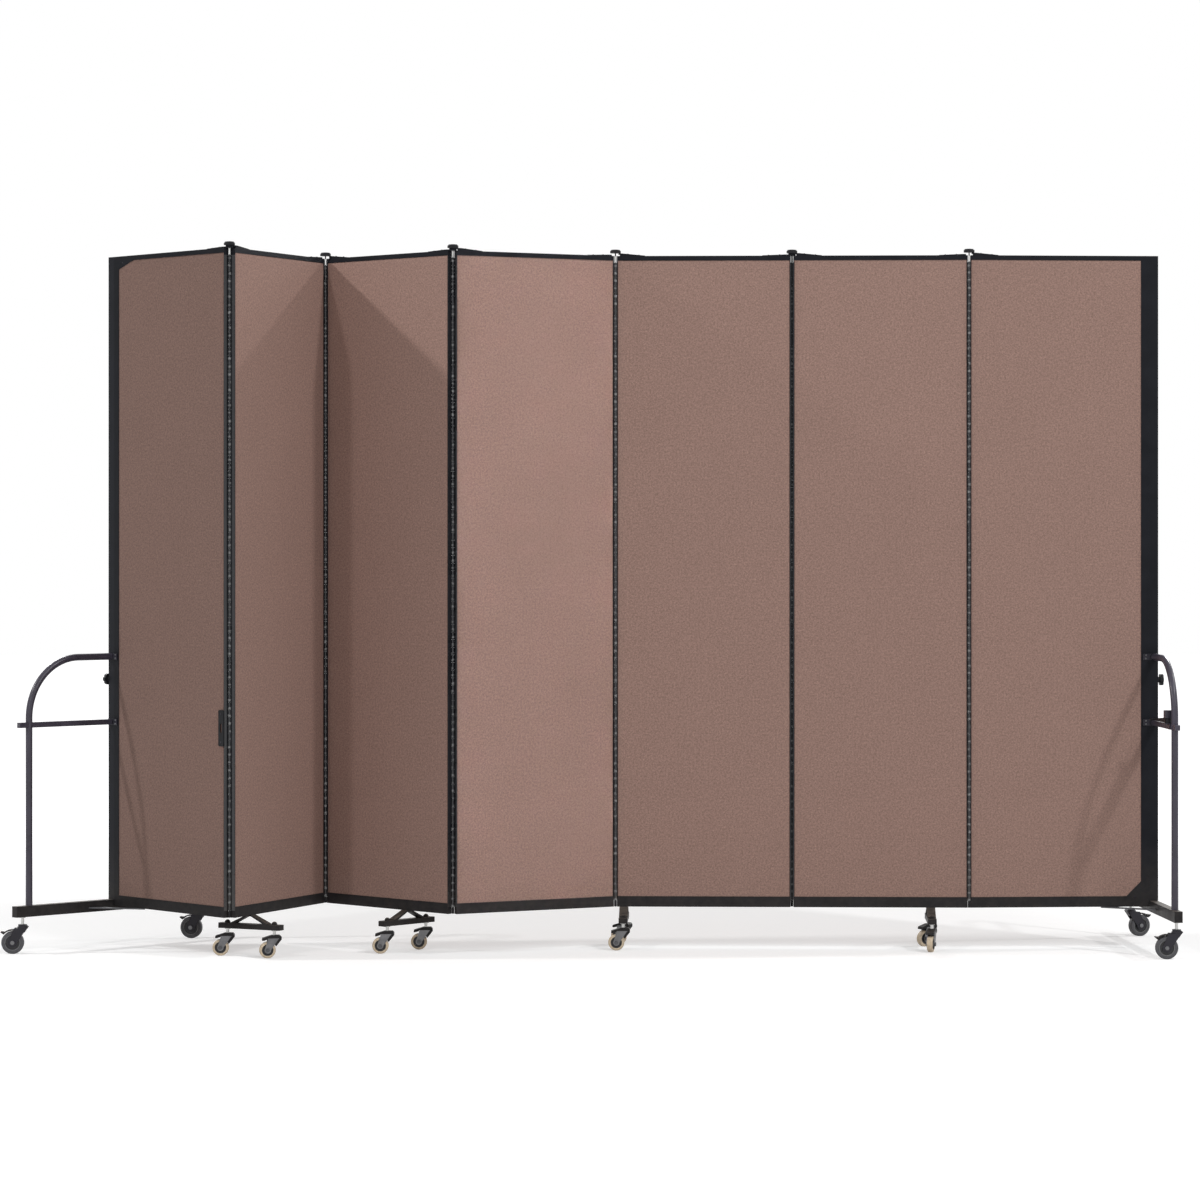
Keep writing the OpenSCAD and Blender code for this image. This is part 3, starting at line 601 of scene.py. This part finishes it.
# %% [markdown]
# ## Posts, arches, rails and beams
# The end frames and the beams are black too, with bright stems where the casters
# hang. The arched tube has a thinner, glossier paint than the powder coat. A stem is
# slim and short, and the clamp knob, the tie plates and the flat brace are told from
# the posts and rails by their height.

# %% Posts, arches, rails and beams
BEAMS = (2, 3, 5, 6)
SIDES = {"left": 1, "right": 7}
STEM_SPAN = 0.03
TIE_PLATE = 0.022
KNOB = 0.05
BRACE = 0.006


def is_stem(part):
    """A caster stem with its washer: slim in plan and taller than wide."""
    return max(part.size.x, part.size.y) < STEM_SPAN < part.size.z


def lower_than(height):
    """A test for solids that are less than height from bottom to top."""
    return lambda part: part.size.z < height


for side in SIDES:
    dress(f"{side}_post", powder_coat, [
        (lower_than(TIE_PLATE), fork_coat), (lower_than(KNOB), moulding),
    ])
    dress(f"{side}_arch", tube_paint_and_reflection)
    dress(f"{side}_base_rail", powder_coat, [(is_stem, zinc), (lower_than(BRACE), dull_steel)])
for number in BEAMS:
    dress(f"beam_{number}", powder_coat, [(is_stem, zinc)])
dress("latch_plate", moulding)
dress("latch_arm", moulding)
print(f"{len(SIDES)} end frames and {len(BEAMS)} beams dressed")

# %% [markdown]
# ## Mesh helpers
# The pieces that this file adds are meshes, built as rings of points with faces
# between them. Blender's ready-made solids would give the wrong shapes, and rings suit
# both a cover and a turned bush. `bridge` joins neighbouring rings, `finished_mesh`
# closes the work, and `mesh_object` puts the mesh into the scene.

# %% Mesh helpers
def bridge(bm, rings):
    """Faces between neighbouring closed rings of the same number of points."""
    for lower, upper in zip(rings, rings[1:]):
        for i in range(len(lower)):
            j = (i + 1) % len(lower)
            bm.faces.new((lower[i], lower[j], upper[j], upper[i]))


def finished_mesh(bm, name):
    """A mesh from finished work, which is then freed."""
    mesh = bpy.data.meshes.new(name)
    bm.to_mesh(mesh)
    bm.free()
    return mesh


def mesh_object(name, mesh, material, smooth=True):
    """Links a mesh as an object with one material."""
    mesh.materials.append(material)
    for polygon in mesh.polygons:
        polygon.use_smooth = smooth
    piece = bpy.data.objects.new(name, mesh)
    bpy.context.scene.collection.objects.link(piece)
    return piece


print("mesh helpers ready")

# %% [markdown]
# ## Fabric covers
# Each board is wrapped in cloth that is drawn tight and tucked into the channels. A
# plain box would look like painted wood, and a cloth simulation would only pull itself
# flat again. So the cover is a grid on each face, rolled over the long edges, with a
# slight crown and a faint ripple from a slow noise: enough for light to fall off
# softly, and less than the lip of the channel, so the cloth stays inside the board's
# own space.

# %% Fabric covers
COVER_COLUMNS = 30
COVER_ROWS = 96
EDGE_ROLL = 0.0025
EDGE_ANGLES = (60, 30, 0)
CROWN = 0.0006
RIPPLE = 0.00018
SIDE_FADE, END_FADE = 12, 40
RIPPLES_ACROSS, RIPPLES_UP = 3, 9
SEED_STEP = 7.3


def cover_depth(u, v, seed):
    """How far the cloth stands off its edge depth at u along and v up, both 0 to 1."""
    fade = min(1, SIDE_FADE * min(u, 1 - u)) * min(1, END_FADE * min(v, 1 - v))
    ripple = noise.noise(Vector((u * RIPPLES_ACROSS, v * RIPPLES_UP, seed * SEED_STEP)))
    return fade * (CROWN * math.sin(math.pi * u) + RIPPLE * ripple)


def edge_roll(edge, deep, face, height):
    """The cloth's way round one upright edge of the board, from one face to the other."""
    roll = []
    for angle in map(math.radians, EDGE_ANGLES):
        along = -face * (edge + EDGE_ROLL * math.cos(angle))
        out = face * (deep - EDGE_ROLL + EDGE_ROLL * math.sin(angle))
        roll.append((along, out, height))
    return roll + [(x, -y, z) for x, y, z in reversed(roll)]


def cover_ring(panel, v):
    """The cloth round a board at one height, in the panel's own axes. v is 0 to 1."""
    edge = panel.length / 2 - EDGE_ROLL
    deep = panel.thickness / 2 - CROWN - RIPPLE
    height = panel.low + v * (panel.high - panel.low)
    ring = []
    for face in (-1, 1):
        side = []
        for column in range(COVER_COLUMNS + 1):
            u = column / COVER_COLUMNS
            stand = cover_depth(u, v, panel.number * 2 + face)
            side.append((-edge + 2 * edge * u, face * (deep + stand), height))
        ring += side if face < 0 else side[::-1]
        ring += edge_roll(edge, deep, face, height)
    return ring


def fabric_cover(panel):
    """The cloth round one board, riding on its panel in place of the plain board."""
    bm = bmesh.new()
    rings = []
    for row in range(COVER_ROWS + 1):
        rings.append([bm.verts.new(point) for point in cover_ring(panel, row / COVER_ROWS)])
    bridge(bm, rings)
    bm.faces.new(reversed(rings[0]))
    bm.faces.new(rings[-1])
    bmesh.ops.recalc_face_normals(bm, faces=bm.faces)
    name = f"panel_{panel.number}_fabric"
    piece = mesh_object(name, finished_mesh(bm, name), fabric)
    piece.matrix_world = panel.matrix()
    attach(piece, panel.body)
    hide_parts(f"panel_{panel.number}_board")
    return piece


covers = [fabric_cover(panel) for panel in PANELS]
print(f"{len(covers)} covers, {len(covers[0].data.polygons)} faces each")

# %% [markdown]
# ## Hinge bushes
# The knuckles stop short of the channels' outer faces, and a small turned bush on the
# pin fills the rest: black at the foot, and bright at the top, where it catches the
# light. Left out, the pin would look too thin there. A bush is turned on a lathe, so
# it is made that way here: a profile is swept round the pin. It is narrower than the
# room between the channels, so the panels fold round it freely.

# %% Hinge bushes
BUSH_RADIUS = 0.0044
BUSH_BORE = 0.0021
BUSH_CHAMFER = 0.0006
BUSH_SEGMENTS = 24
KNUCKLES_IN = 0.022
BUSH_PLAY = 0.0006


def bush(name, pin, low, high, material, body):
    """A turned sleeve round a hinge pin from low to high, with small chamfers."""
    inside_chamfer = BUSH_RADIUS - BUSH_CHAMFER
    profile = [
        (BUSH_BORE, low), (inside_chamfer, low), (BUSH_RADIUS, low + BUSH_CHAMFER),
        (BUSH_RADIUS, high - BUSH_CHAMFER), (inside_chamfer, high), (BUSH_BORE, high),
    ]
    bm = bmesh.new()
    rings = []
    for step in range(BUSH_SEGMENTS):
        angle = 2 * math.pi * step / BUSH_SEGMENTS
        ring = []
        for radius, z in profile:
            point = (pin.x + radius * math.cos(angle), pin.y + radius * math.sin(angle), z)
            ring.append(bm.verts.new(point))
        rings.append(ring)
    bridge(bm, rings + rings[:1])
    bmesh.ops.recalc_face_normals(bm, faces=bm.faces)
    piece = mesh_object(name, finished_mesh(bm, name), material, smooth=False)
    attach(piece, body)
    return piece


CHANNEL_LOW = min(vertex.co.z for vertex in nodes["panel_5_frame"].data.vertices)
CHANNEL_HIGH = PANELS[4].high + (PANELS[4].low - CHANNEL_LOW)
for number in range(1, 7):
    pin = Vector(joints[f"hinge_{number}"]["pos_m"])
    body = body_of_node[f"hinge_{number}_pin"]
    foot = (CHANNEL_LOW + BUSH_PLAY, CHANNEL_LOW + KNUCKLES_IN - BUSH_PLAY)
    head = (CHANNEL_HIGH - KNUCKLES_IN + BUSH_PLAY, CHANNEL_HIGH - BUSH_PLAY)
    bush(f"hinge_{number}_foot_bush", pin, *foot, moulding, body)
    bush(f"hinge_{number}_head_bush", pin, *head, zinc, body)
print(f"channels from {CHANNEL_LOW:.3f} to {CHANNEL_HIGH:.3f} m, bushes at their ends")

# %% [markdown]
# ## Casters
# A caster wheel is a hard hub with a softer tyre moulded over it. A separate mesh for
# the tyre could be laid over the wheel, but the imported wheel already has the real
# profile. So its faces are only sorted by their distance from the axle: the hub's web
# and boss, the paler rim that shows as a ring, and the tyre. The fork's bolt, legs and
# hood are separate solids, told apart by their height.

# %% Casters
HUB_SHARE = 0.72
RIM_BAND = 0.0043
BOLT_HEIGHT = 0.02
LEG_LOW = 0.02


def dress_wheel(name, tyre, hub, rim):
    """Gives a packed wheel its tyre, rim and hub by distance from its axle."""
    roll = joints[f"{name}_roll"]
    centre, axis = Vector(roll["pos_m"]), Vector(roll["axis"])
    mesh = nodes[f"{name}_wheel"].data
    reach = [((v.co - centre) - axis * (v.co - centre).dot(axis)).length for v in mesh.vertices]
    tyre_starts = max(reach) * HUB_SHARE
    rim_starts = tyre_starts - RIM_BAND
    mesh.materials.clear()
    for material in (tyre, hub, rim):
        mesh.materials.append(material)
    for polygon in mesh.polygons:
        near = min(reach[i] for i in polygon.vertices)
        far = max(reach[i] for i in polygon.vertices)
        if far > tyre_starts:
            polygon.material_index = 0
        else:
            polygon.material_index = 2 if near > rim_starts else 1


def is_bolt(part):
    """The axle bolt, which lies level."""
    return part.size.z < BOLT_HEIGHT


def is_steel_leg(part):
    """The legs of a small fork, which reach below its axle. The hood does not."""
    return part.low.z < LEG_LOW


ROWS = ("front", "rear")
END_CASTERS = [f"{side}_{row}" for side in SIDES for row in ROWS]
BEAM_CASTERS = [f"beam_{number}_{row}" for number in BEAMS for row in ROWS]
for name in END_CASTERS:
    dress_wheel(name, grey_tyre, hub_plastic, rim_plastic)
    dress(f"{name}_fork", fork_coat, [(is_bolt, leg_steel)])
    dress(f"{name}_pedal", moulding)
for name in BEAM_CASTERS:
    dress_wheel(name, cream_tyre, hub_plastic, hub_plastic)
    dress(f"{name}_fork", moulding, [(is_bolt, dull_steel), (is_steel_leg, leg_steel)])
print(f"{len(END_CASTERS)} large and {len(BEAM_CASTERS)} small casters dressed")

# %% [markdown]
# ## Screws and rivets
# The straps, plates, gussets and hangers are held by pan-head screws. Each head is a
# small turned dome with a cross pressed into it, a few millimetres wide, and shows
# only as a glint, but a strap without screws looks glued on. Reckoning each seat would
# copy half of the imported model's sizes. So a head finds its own seat: a ray is shot at
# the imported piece, and the head sits where it lands, square to that surface. All the
# heads on one body are built into one mesh, because they only ever move together.

# %% Screw heads
HEAD_RINGS = 7
HEAD_SEGMENTS = 24
DOME = 0.5
SCREW_RADIUS = 0.003
CROSS_WIDTH = 0.13
CROSS_REACH = 0.6
CROSS_DEPTH = 0.7


def screw_head(bm, centre, outward, radius):
    """Adds one pan head with a cross recess, seated at centre and facing outward."""
    height = radius * DOME
    turn = outward.to_track_quat("Z", "Y").to_matrix()
    rings = []
    for ring in range(HEAD_RINGS + 1):
        share = ring / HEAD_RINGS
        dome = height * (1 - share ** 4)
        corners = []
        for step in range(HEAD_SEGMENTS if ring else 1):
            angle = 2 * math.pi * step / HEAD_SEGMENTS
            x, y = (radius * share * f(angle) for f in (math.cos, math.sin))
            in_cross = min(abs(x), abs(y)) < radius * CROSS_WIDTH and share < CROSS_REACH
            depth = dome - (height * CROSS_DEPTH if in_cross else 0)
            corners.append(bm.verts.new(centre + turn @ Vector((x, y, depth))))
        rings.append(corners)
    for step in range(HEAD_SEGMENTS):
        after = (step + 1) % HEAD_SEGMENTS
        bm.faces.new((rings[0][0], rings[1][step], rings[1][after]))
        for inner, outer in zip(rings[1:], rings[2:]):
            bm.faces.new((inner[step], outer[step], outer[after], inner[after]))
    bm.faces.new(reversed(rings[-1]))


def seat(node, start, direction):
    """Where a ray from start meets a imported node, and the surface's outward side there."""
    mesh = nodes[node].data
    points = [vertex.co for vertex in mesh.vertices]
    tree = BVHTree.FromPolygons(points, [tuple(face.vertices) for face in mesh.polygons])
    hit, normal, _, _ = tree.ray_cast(start, direction)
    if hit is None:
        raise RuntimeError(f"a screw misses {node} from {tuple(start)}")
    return hit, -normal if normal.dot(direction) > 0 else normal


def screws(name, body, seats, radius=SCREW_RADIUS, material=fork_coat):
    """One mesh of screw heads on a body. seats is pairs of a point and an outward side."""
    bm = bmesh.new()
    for centre, outward in seats:
        screw_head(bm, centre, outward, radius)
    piece = mesh_object(name, finished_mesh(bm, name), material, smooth=False)
    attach(piece, body)
    return piece


print(f"a screw head is {2 * SCREW_RADIUS * 1000:.0f} mm across")

# %% [markdown]
# ## Screws of the panels
# Two screws hold each hinge strap to the top channel, and a rivet holds the corner
# plate of each end panel. The straps slope, so their rays are shot straight down from
# above the middle of the board, and each head tilts with the strap that it meets.

# %% Screws of the panels
ABOVE = 0.05
STRAP_SCREWS = (0.040, 0.076)
RIVET_IN = 0.045
TOP_RIVET_DOWN = 0.020
FOOT_RIVET_UP = 0.030


def strap_seats(panel):
    """Two screws in each hinge strap of a panel, on its sloping top."""
    seats = []
    for number, way in ((panel.number - 1, 1), (panel.number, -1)):
        if f"hinge_{number}" not in joints:
            continue
        pin = Vector(joints[f"hinge_{number}"]["pos_m"])
        along = (pin - panel.centre).dot(panel.along)
        for reach in STRAP_SCREWS:
            start = panel.at(along + way * reach, 0, panel.high + ABOVE)
            seats.append(seat(f"panel_{panel.number}_frame", start, -UP))
    return seats


def gusset_seat(panel, along, height):
    """A rivet in the corner plate on a panel's front face."""
    return seat(f"panel_{panel.number}_frame", panel.at(along, ABOVE, height), -panel.outward)


for panel in PANELS:
    seats = strap_seats(panel)
    if panel.number == 1:
        seats.append(gusset_seat(panel, RIVET_IN - panel.length / 2, panel.high - TOP_RIVET_DOWN))
    if panel.number == 7:
        seats.append(gusset_seat(panel, panel.length / 2 - RIVET_IN, panel.low + FOOT_RIVET_UP))
    screws(f"panel_{panel.number}_screws", panel.body, seats)
print("strap and gusset screws seated")

# %% [markdown]
# ## Screws of the end frames and beams
# Each tie plate has two screws, each bent hanger strap one in either foot, and the
# latch plate one above and one below its slot. The tie plates are solids of the post,
# so they are found as loose parts again, and the hangers are found from the stems of
# their casters.

# %% Screws of the end frames and beams
PLATE_SCREW_IN = 0.0155
PLATE_SCREW_UP = 0.0055
TIE_SCREW_RADIUS = 0.0028
HANGER_SCREW = 0.058
HANGER_START = 0.004
LATCH_SCREW_IN = 0.012


def tie_plate_seats(side):
    """Two screws in each tie plate, on the panel's side of the tube."""
    panel = PANELS[SIDES[side] - 1]
    inboard = 1 if side == "left" else -1
    mesh = nodes[f"{side}_post"].data
    seats = []
    for polygons in loose_parts(mesh):
        part = Part(mesh, polygons)
        if part.size.z >= TIE_PLATE:
            continue
        face = 1 if (part.centre - panel.centre).dot(panel.outward) > 0 else -1
        outward = panel.outward * face
        for up in (-PLATE_SCREW_UP, PLATE_SCREW_UP):
            middle = part.centre + panel.along * inboard * PLATE_SCREW_IN + UP * up
            seats.append(seat(f"{side}_post", middle + outward * ABOVE, -outward))
    return seats


def hanger_seats(number):
    """A screw in each foot of the bent strap that hangs a beam."""
    stems = [Vector(joints[f"beam_{number}_{row}_swivel"]["pos_m"]) for row in ROWS]
    middle = (stems[0] + stems[1]) / 2
    across = (stems[1] - stems[0]).normalized()
    top = PANELS[0].low - HANGER_START
    return [
        seat(f"beam_{number}", Vector((middle.x, middle.y, top)) + across * way * HANGER_SCREW, -UP)
        for way in (-1, 1)
    ]


def latch_plate_seats():
    """One screw above and one below the slot of the latch plate."""
    panel = PANELS[0]
    points = [vertex.co for vertex in nodes["latch_plate"].data.vertices]
    middle = sum(points, Vector()) / len(points)
    high = max(point.z for point in points)
    low = min(point.z for point in points)
    return [
        seat("latch_plate", Vector((middle.x, middle.y, z)) + panel.outward * ABOVE, -panel.outward)
        for z in (low + LATCH_SCREW_IN, high - LATCH_SCREW_IN)
    ]


for side, number in SIDES.items():
    seats = tie_plate_seats(side)
    screws(f"{side}_tie_screws", f"panel_{number}", seats, TIE_SCREW_RADIUS, leg_steel)
for number in BEAMS:
    screws(f"beam_{number}_screws", f"panel_{number}", hanger_seats(number))
screws("latch_plate_screws", "panel_1", latch_plate_seats())
print("end frame and beam screws seated")

# %% [markdown]
# ## White for the viewer
# The photograph is a cut-out on pure white. A world and a floor that bright would flood
# the partition with light from all sides and wash its shadows out. So both are white
# only to the rays that reach the viewer, straight or by a mirror, and much darker to
# the rays that light the object.

# %% White for the viewer
def white_for_viewers(owner, strength):
    """A value that is strength for camera, glossy and transmission rays and 0 for others.
    owner is a material or the world."""
    path = add_node(owner, "ShaderNodeLightPath")
    seen = path.outputs["Is Camera Ray"]
    for ray in ("Is Glossy Ray", "Is Transmission Ray"):
        seen = combine(owner, "MAXIMUM", seen, path.outputs[ray])
    return combine(owner, "MULTIPLY", seen, strength)


print("light path helper ready")

# %% [markdown]
# ## Floor
# The floor is pale, plain and matt, so that it takes the partition's soft shadow. Its
# emission lifts it towards white for the viewer. Near the partition the lift is partial
# and leaves the shadow visible. Far away it is full, so the floor meets the background
# without a horizon line. A curved backdrop would hide the horizon too, but it would
# show from the sides.

# %% Floor
FLOOR_ALBEDO = 0.7
FLOOR_REACH = 30
NEAR_LIFT = 0.42
NEAR, FAR = 1.8, 6.0


def floor_material():
    """Matt and pale, and lifted to white for the viewer, fully so far away."""
    material = bpy.data.materials.new("studio_floor")
    material.use_nodes = True
    material.node_tree.nodes.clear()
    place = add_node(material, "ShaderNodeTexCoord")
    away = add_node(material, "ShaderNodeVectorMath")
    away.operation = "LENGTH"
    link(material, place.outputs["Object"], away.inputs[0])
    fade = add_node(
        material, "ShaderNodeMapRange", From_Min=NEAR, From_Max=FAR, To_Min=NEAR_LIFT, To_Max=1
    )
    fade.interpolation_type = "SMOOTHSTEP"
    link(material, away.outputs["Value"], fade.inputs["Value"])
    lift = combine(material, "MULTIPLY", fade.outputs["Result"], white_for_viewers(material, 1))
    glow = add_node(material, "ShaderNodeEmission")
    link(material, lift, glow.inputs["Strength"])
    pale = add_node(material, "ShaderNodeBsdfDiffuse", Color=(FLOOR_ALBEDO,) * 3 + (1,))
    both = add_node(material, "ShaderNodeAddShader")
    link(material, pale.outputs["BSDF"], both.inputs[0])
    link(material, glow.outputs["Emission"], both.inputs[1])
    surface = add_node(material, "ShaderNodeOutputMaterial")
    link(material, both.outputs["Shader"], surface.inputs["Surface"])
    return material


def add_floor():
    """A large square under everything."""
    bm = bmesh.new()
    bmesh.ops.create_grid(bm, x_segments=1, y_segments=1, size=FLOOR_REACH)
    floor = mesh_object("floor", finished_mesh(bm, "floor"), floor_material(), smooth=False)
    return floor


floor = add_floor()
print(f"floor {2 * FLOOR_REACH} m square")

# %% [markdown]
# ## World
# A studio's white walls send a weak, even light back into the shadows. The walls could
# be built, or a picture of a studio wrapped round everything, but a world of one even
# brightness does the same for an object as matt as this one.

# %% World
AMBIENT = 0.3


def add_world():
    """White to the viewer, and a weak even light on the object."""
    world = bpy.data.worlds.new("studio")
    world.use_nodes = True
    background = world.node_tree.nodes["Background"]
    background.inputs["Color"].default_value = (1, 1, 1, 1)
    strength = combine(world, "ADD", white_for_viewers(world, 1 - AMBIENT), AMBIENT)
    link(world, strength, background.inputs["Strength"])
    bpy.context.scene.world = world


add_world()
print(f"ambient light {AMBIENT}")

# %% [markdown]
# ## Lamps, flags and snoots
# A studio has lamps, flags, which are black boards that keep a lamp's light off part of
# the set, and snoots, which are tubes that let it reach one part only. Blender's light
# linking does the work of both without a board or a tube that would show. A lamp is
# placed by its direction, because that is what the shadows tell.

# %% Lamps, flags and snoots
AIM = Vector((0, 0, 1.1))
FAR_OFF = 11


def lamp(name, azimuth, elevation, size, level, distance=FAR_OFF):
    """A soft square lamp. azimuth is to the right of the front. level is how bright a white
    surface that faces it would render, where 1 is white."""
    data = bpy.data.lights.new(name, "AREA")
    data.shape = "SQUARE"
    data.size = size
    data.energy = level * (math.pi * distance) ** 2
    piece = bpy.data.objects.new(name, data)
    turn, lift = math.radians(azimuth), math.radians(elevation)
    across, forward = math.sin(turn), -math.cos(turn)
    away = Vector((across * math.cos(lift), forward * math.cos(lift), math.sin(lift)))
    piece.location = AIM + away * distance
    piece.rotation_euler = away.to_track_quat("Z", "Y").to_euler()
    bpy.context.scene.collection.objects.link(piece)
    return piece


def snoot(light, pieces):
    """A tube on a lamp: its light reaches these pieces only."""
    lit = bpy.data.collections.new(f"{light.name}_pieces")
    for piece in pieces:
        lit.objects.link(piece)
    light.light_linking.receiver_collection = lit
    return lit


def flag(light, pieces):
    """A board before a lamp: its light leaves these pieces out."""
    for entry in snoot(light, pieces).collection_objects:
        entry.light_linking.link_state = "EXCLUDE"


print(f"lamps aim at {tuple(AIM)}")

# %% [markdown]
# ## The studio's lamps
# The folded panels work as sundials: the edges of their shadows give the directions of
# the lamps in the photograph. Two at the far left and right draw the bright wedges
# beside the second hinge. Two at the left and right draw the dark bands next to it, and
# the arch's shadow on the last panel. The wide ones fill in. Panel 1 has a lamp of its
# own, high on the left, that throws the crossbar's thin shadow on it, and a weak one
# lifts panel 4. Two lamps behind light the back for other views. The levels could be
# tried by eye, but a least squares fit of one-lamp renders to the fabric's brightness,
# panel by panel, found them faster. Flags keep the lamps off the panels that they do
# not reach in the photograph.

# %% The studio's lamps
panel_1 = [covers[0], nodes["panel_1_frame"], nodes["latch_plate"]]
panel_4 = [covers[3], nodes["panel_4_frame"]]

flag(lamp("lamp_left", -42.3, 35.8, size=0.5, level=0.126, distance=11.85), panel_1)
lamp("lamp_right", 51, 44, size=0.5, level=0.256)
lamp("lamp_front_right", 30, 30, size=3, level=0.19)
flag(lamp("lamp_front_left", -25, 15, size=3, level=0.08), panel_1)
snoot(lamp("lamp_panel_1", -78.6, 44.2, size=0.3, level=0.196, distance=11.55), panel_1)
flag(lamp("lamp_far_right", 101, 37, size=0.5, level=0.193), [covers[3]])
flag(lamp("lamp_far_left", -85, 34.5, size=0.5, level=0.354), panel_1)
snoot(lamp("lamp_panel_4", 75, 25, size=2, level=0.093), panel_4)
for side, azimuth in (("left", -150), ("right", 150)):
    flag(lamp(f"lamp_back_{side}", azimuth, 25, size=3, level=0.33), [floor])
bpy.context.scene.view_settings.view_transform = "Standard"
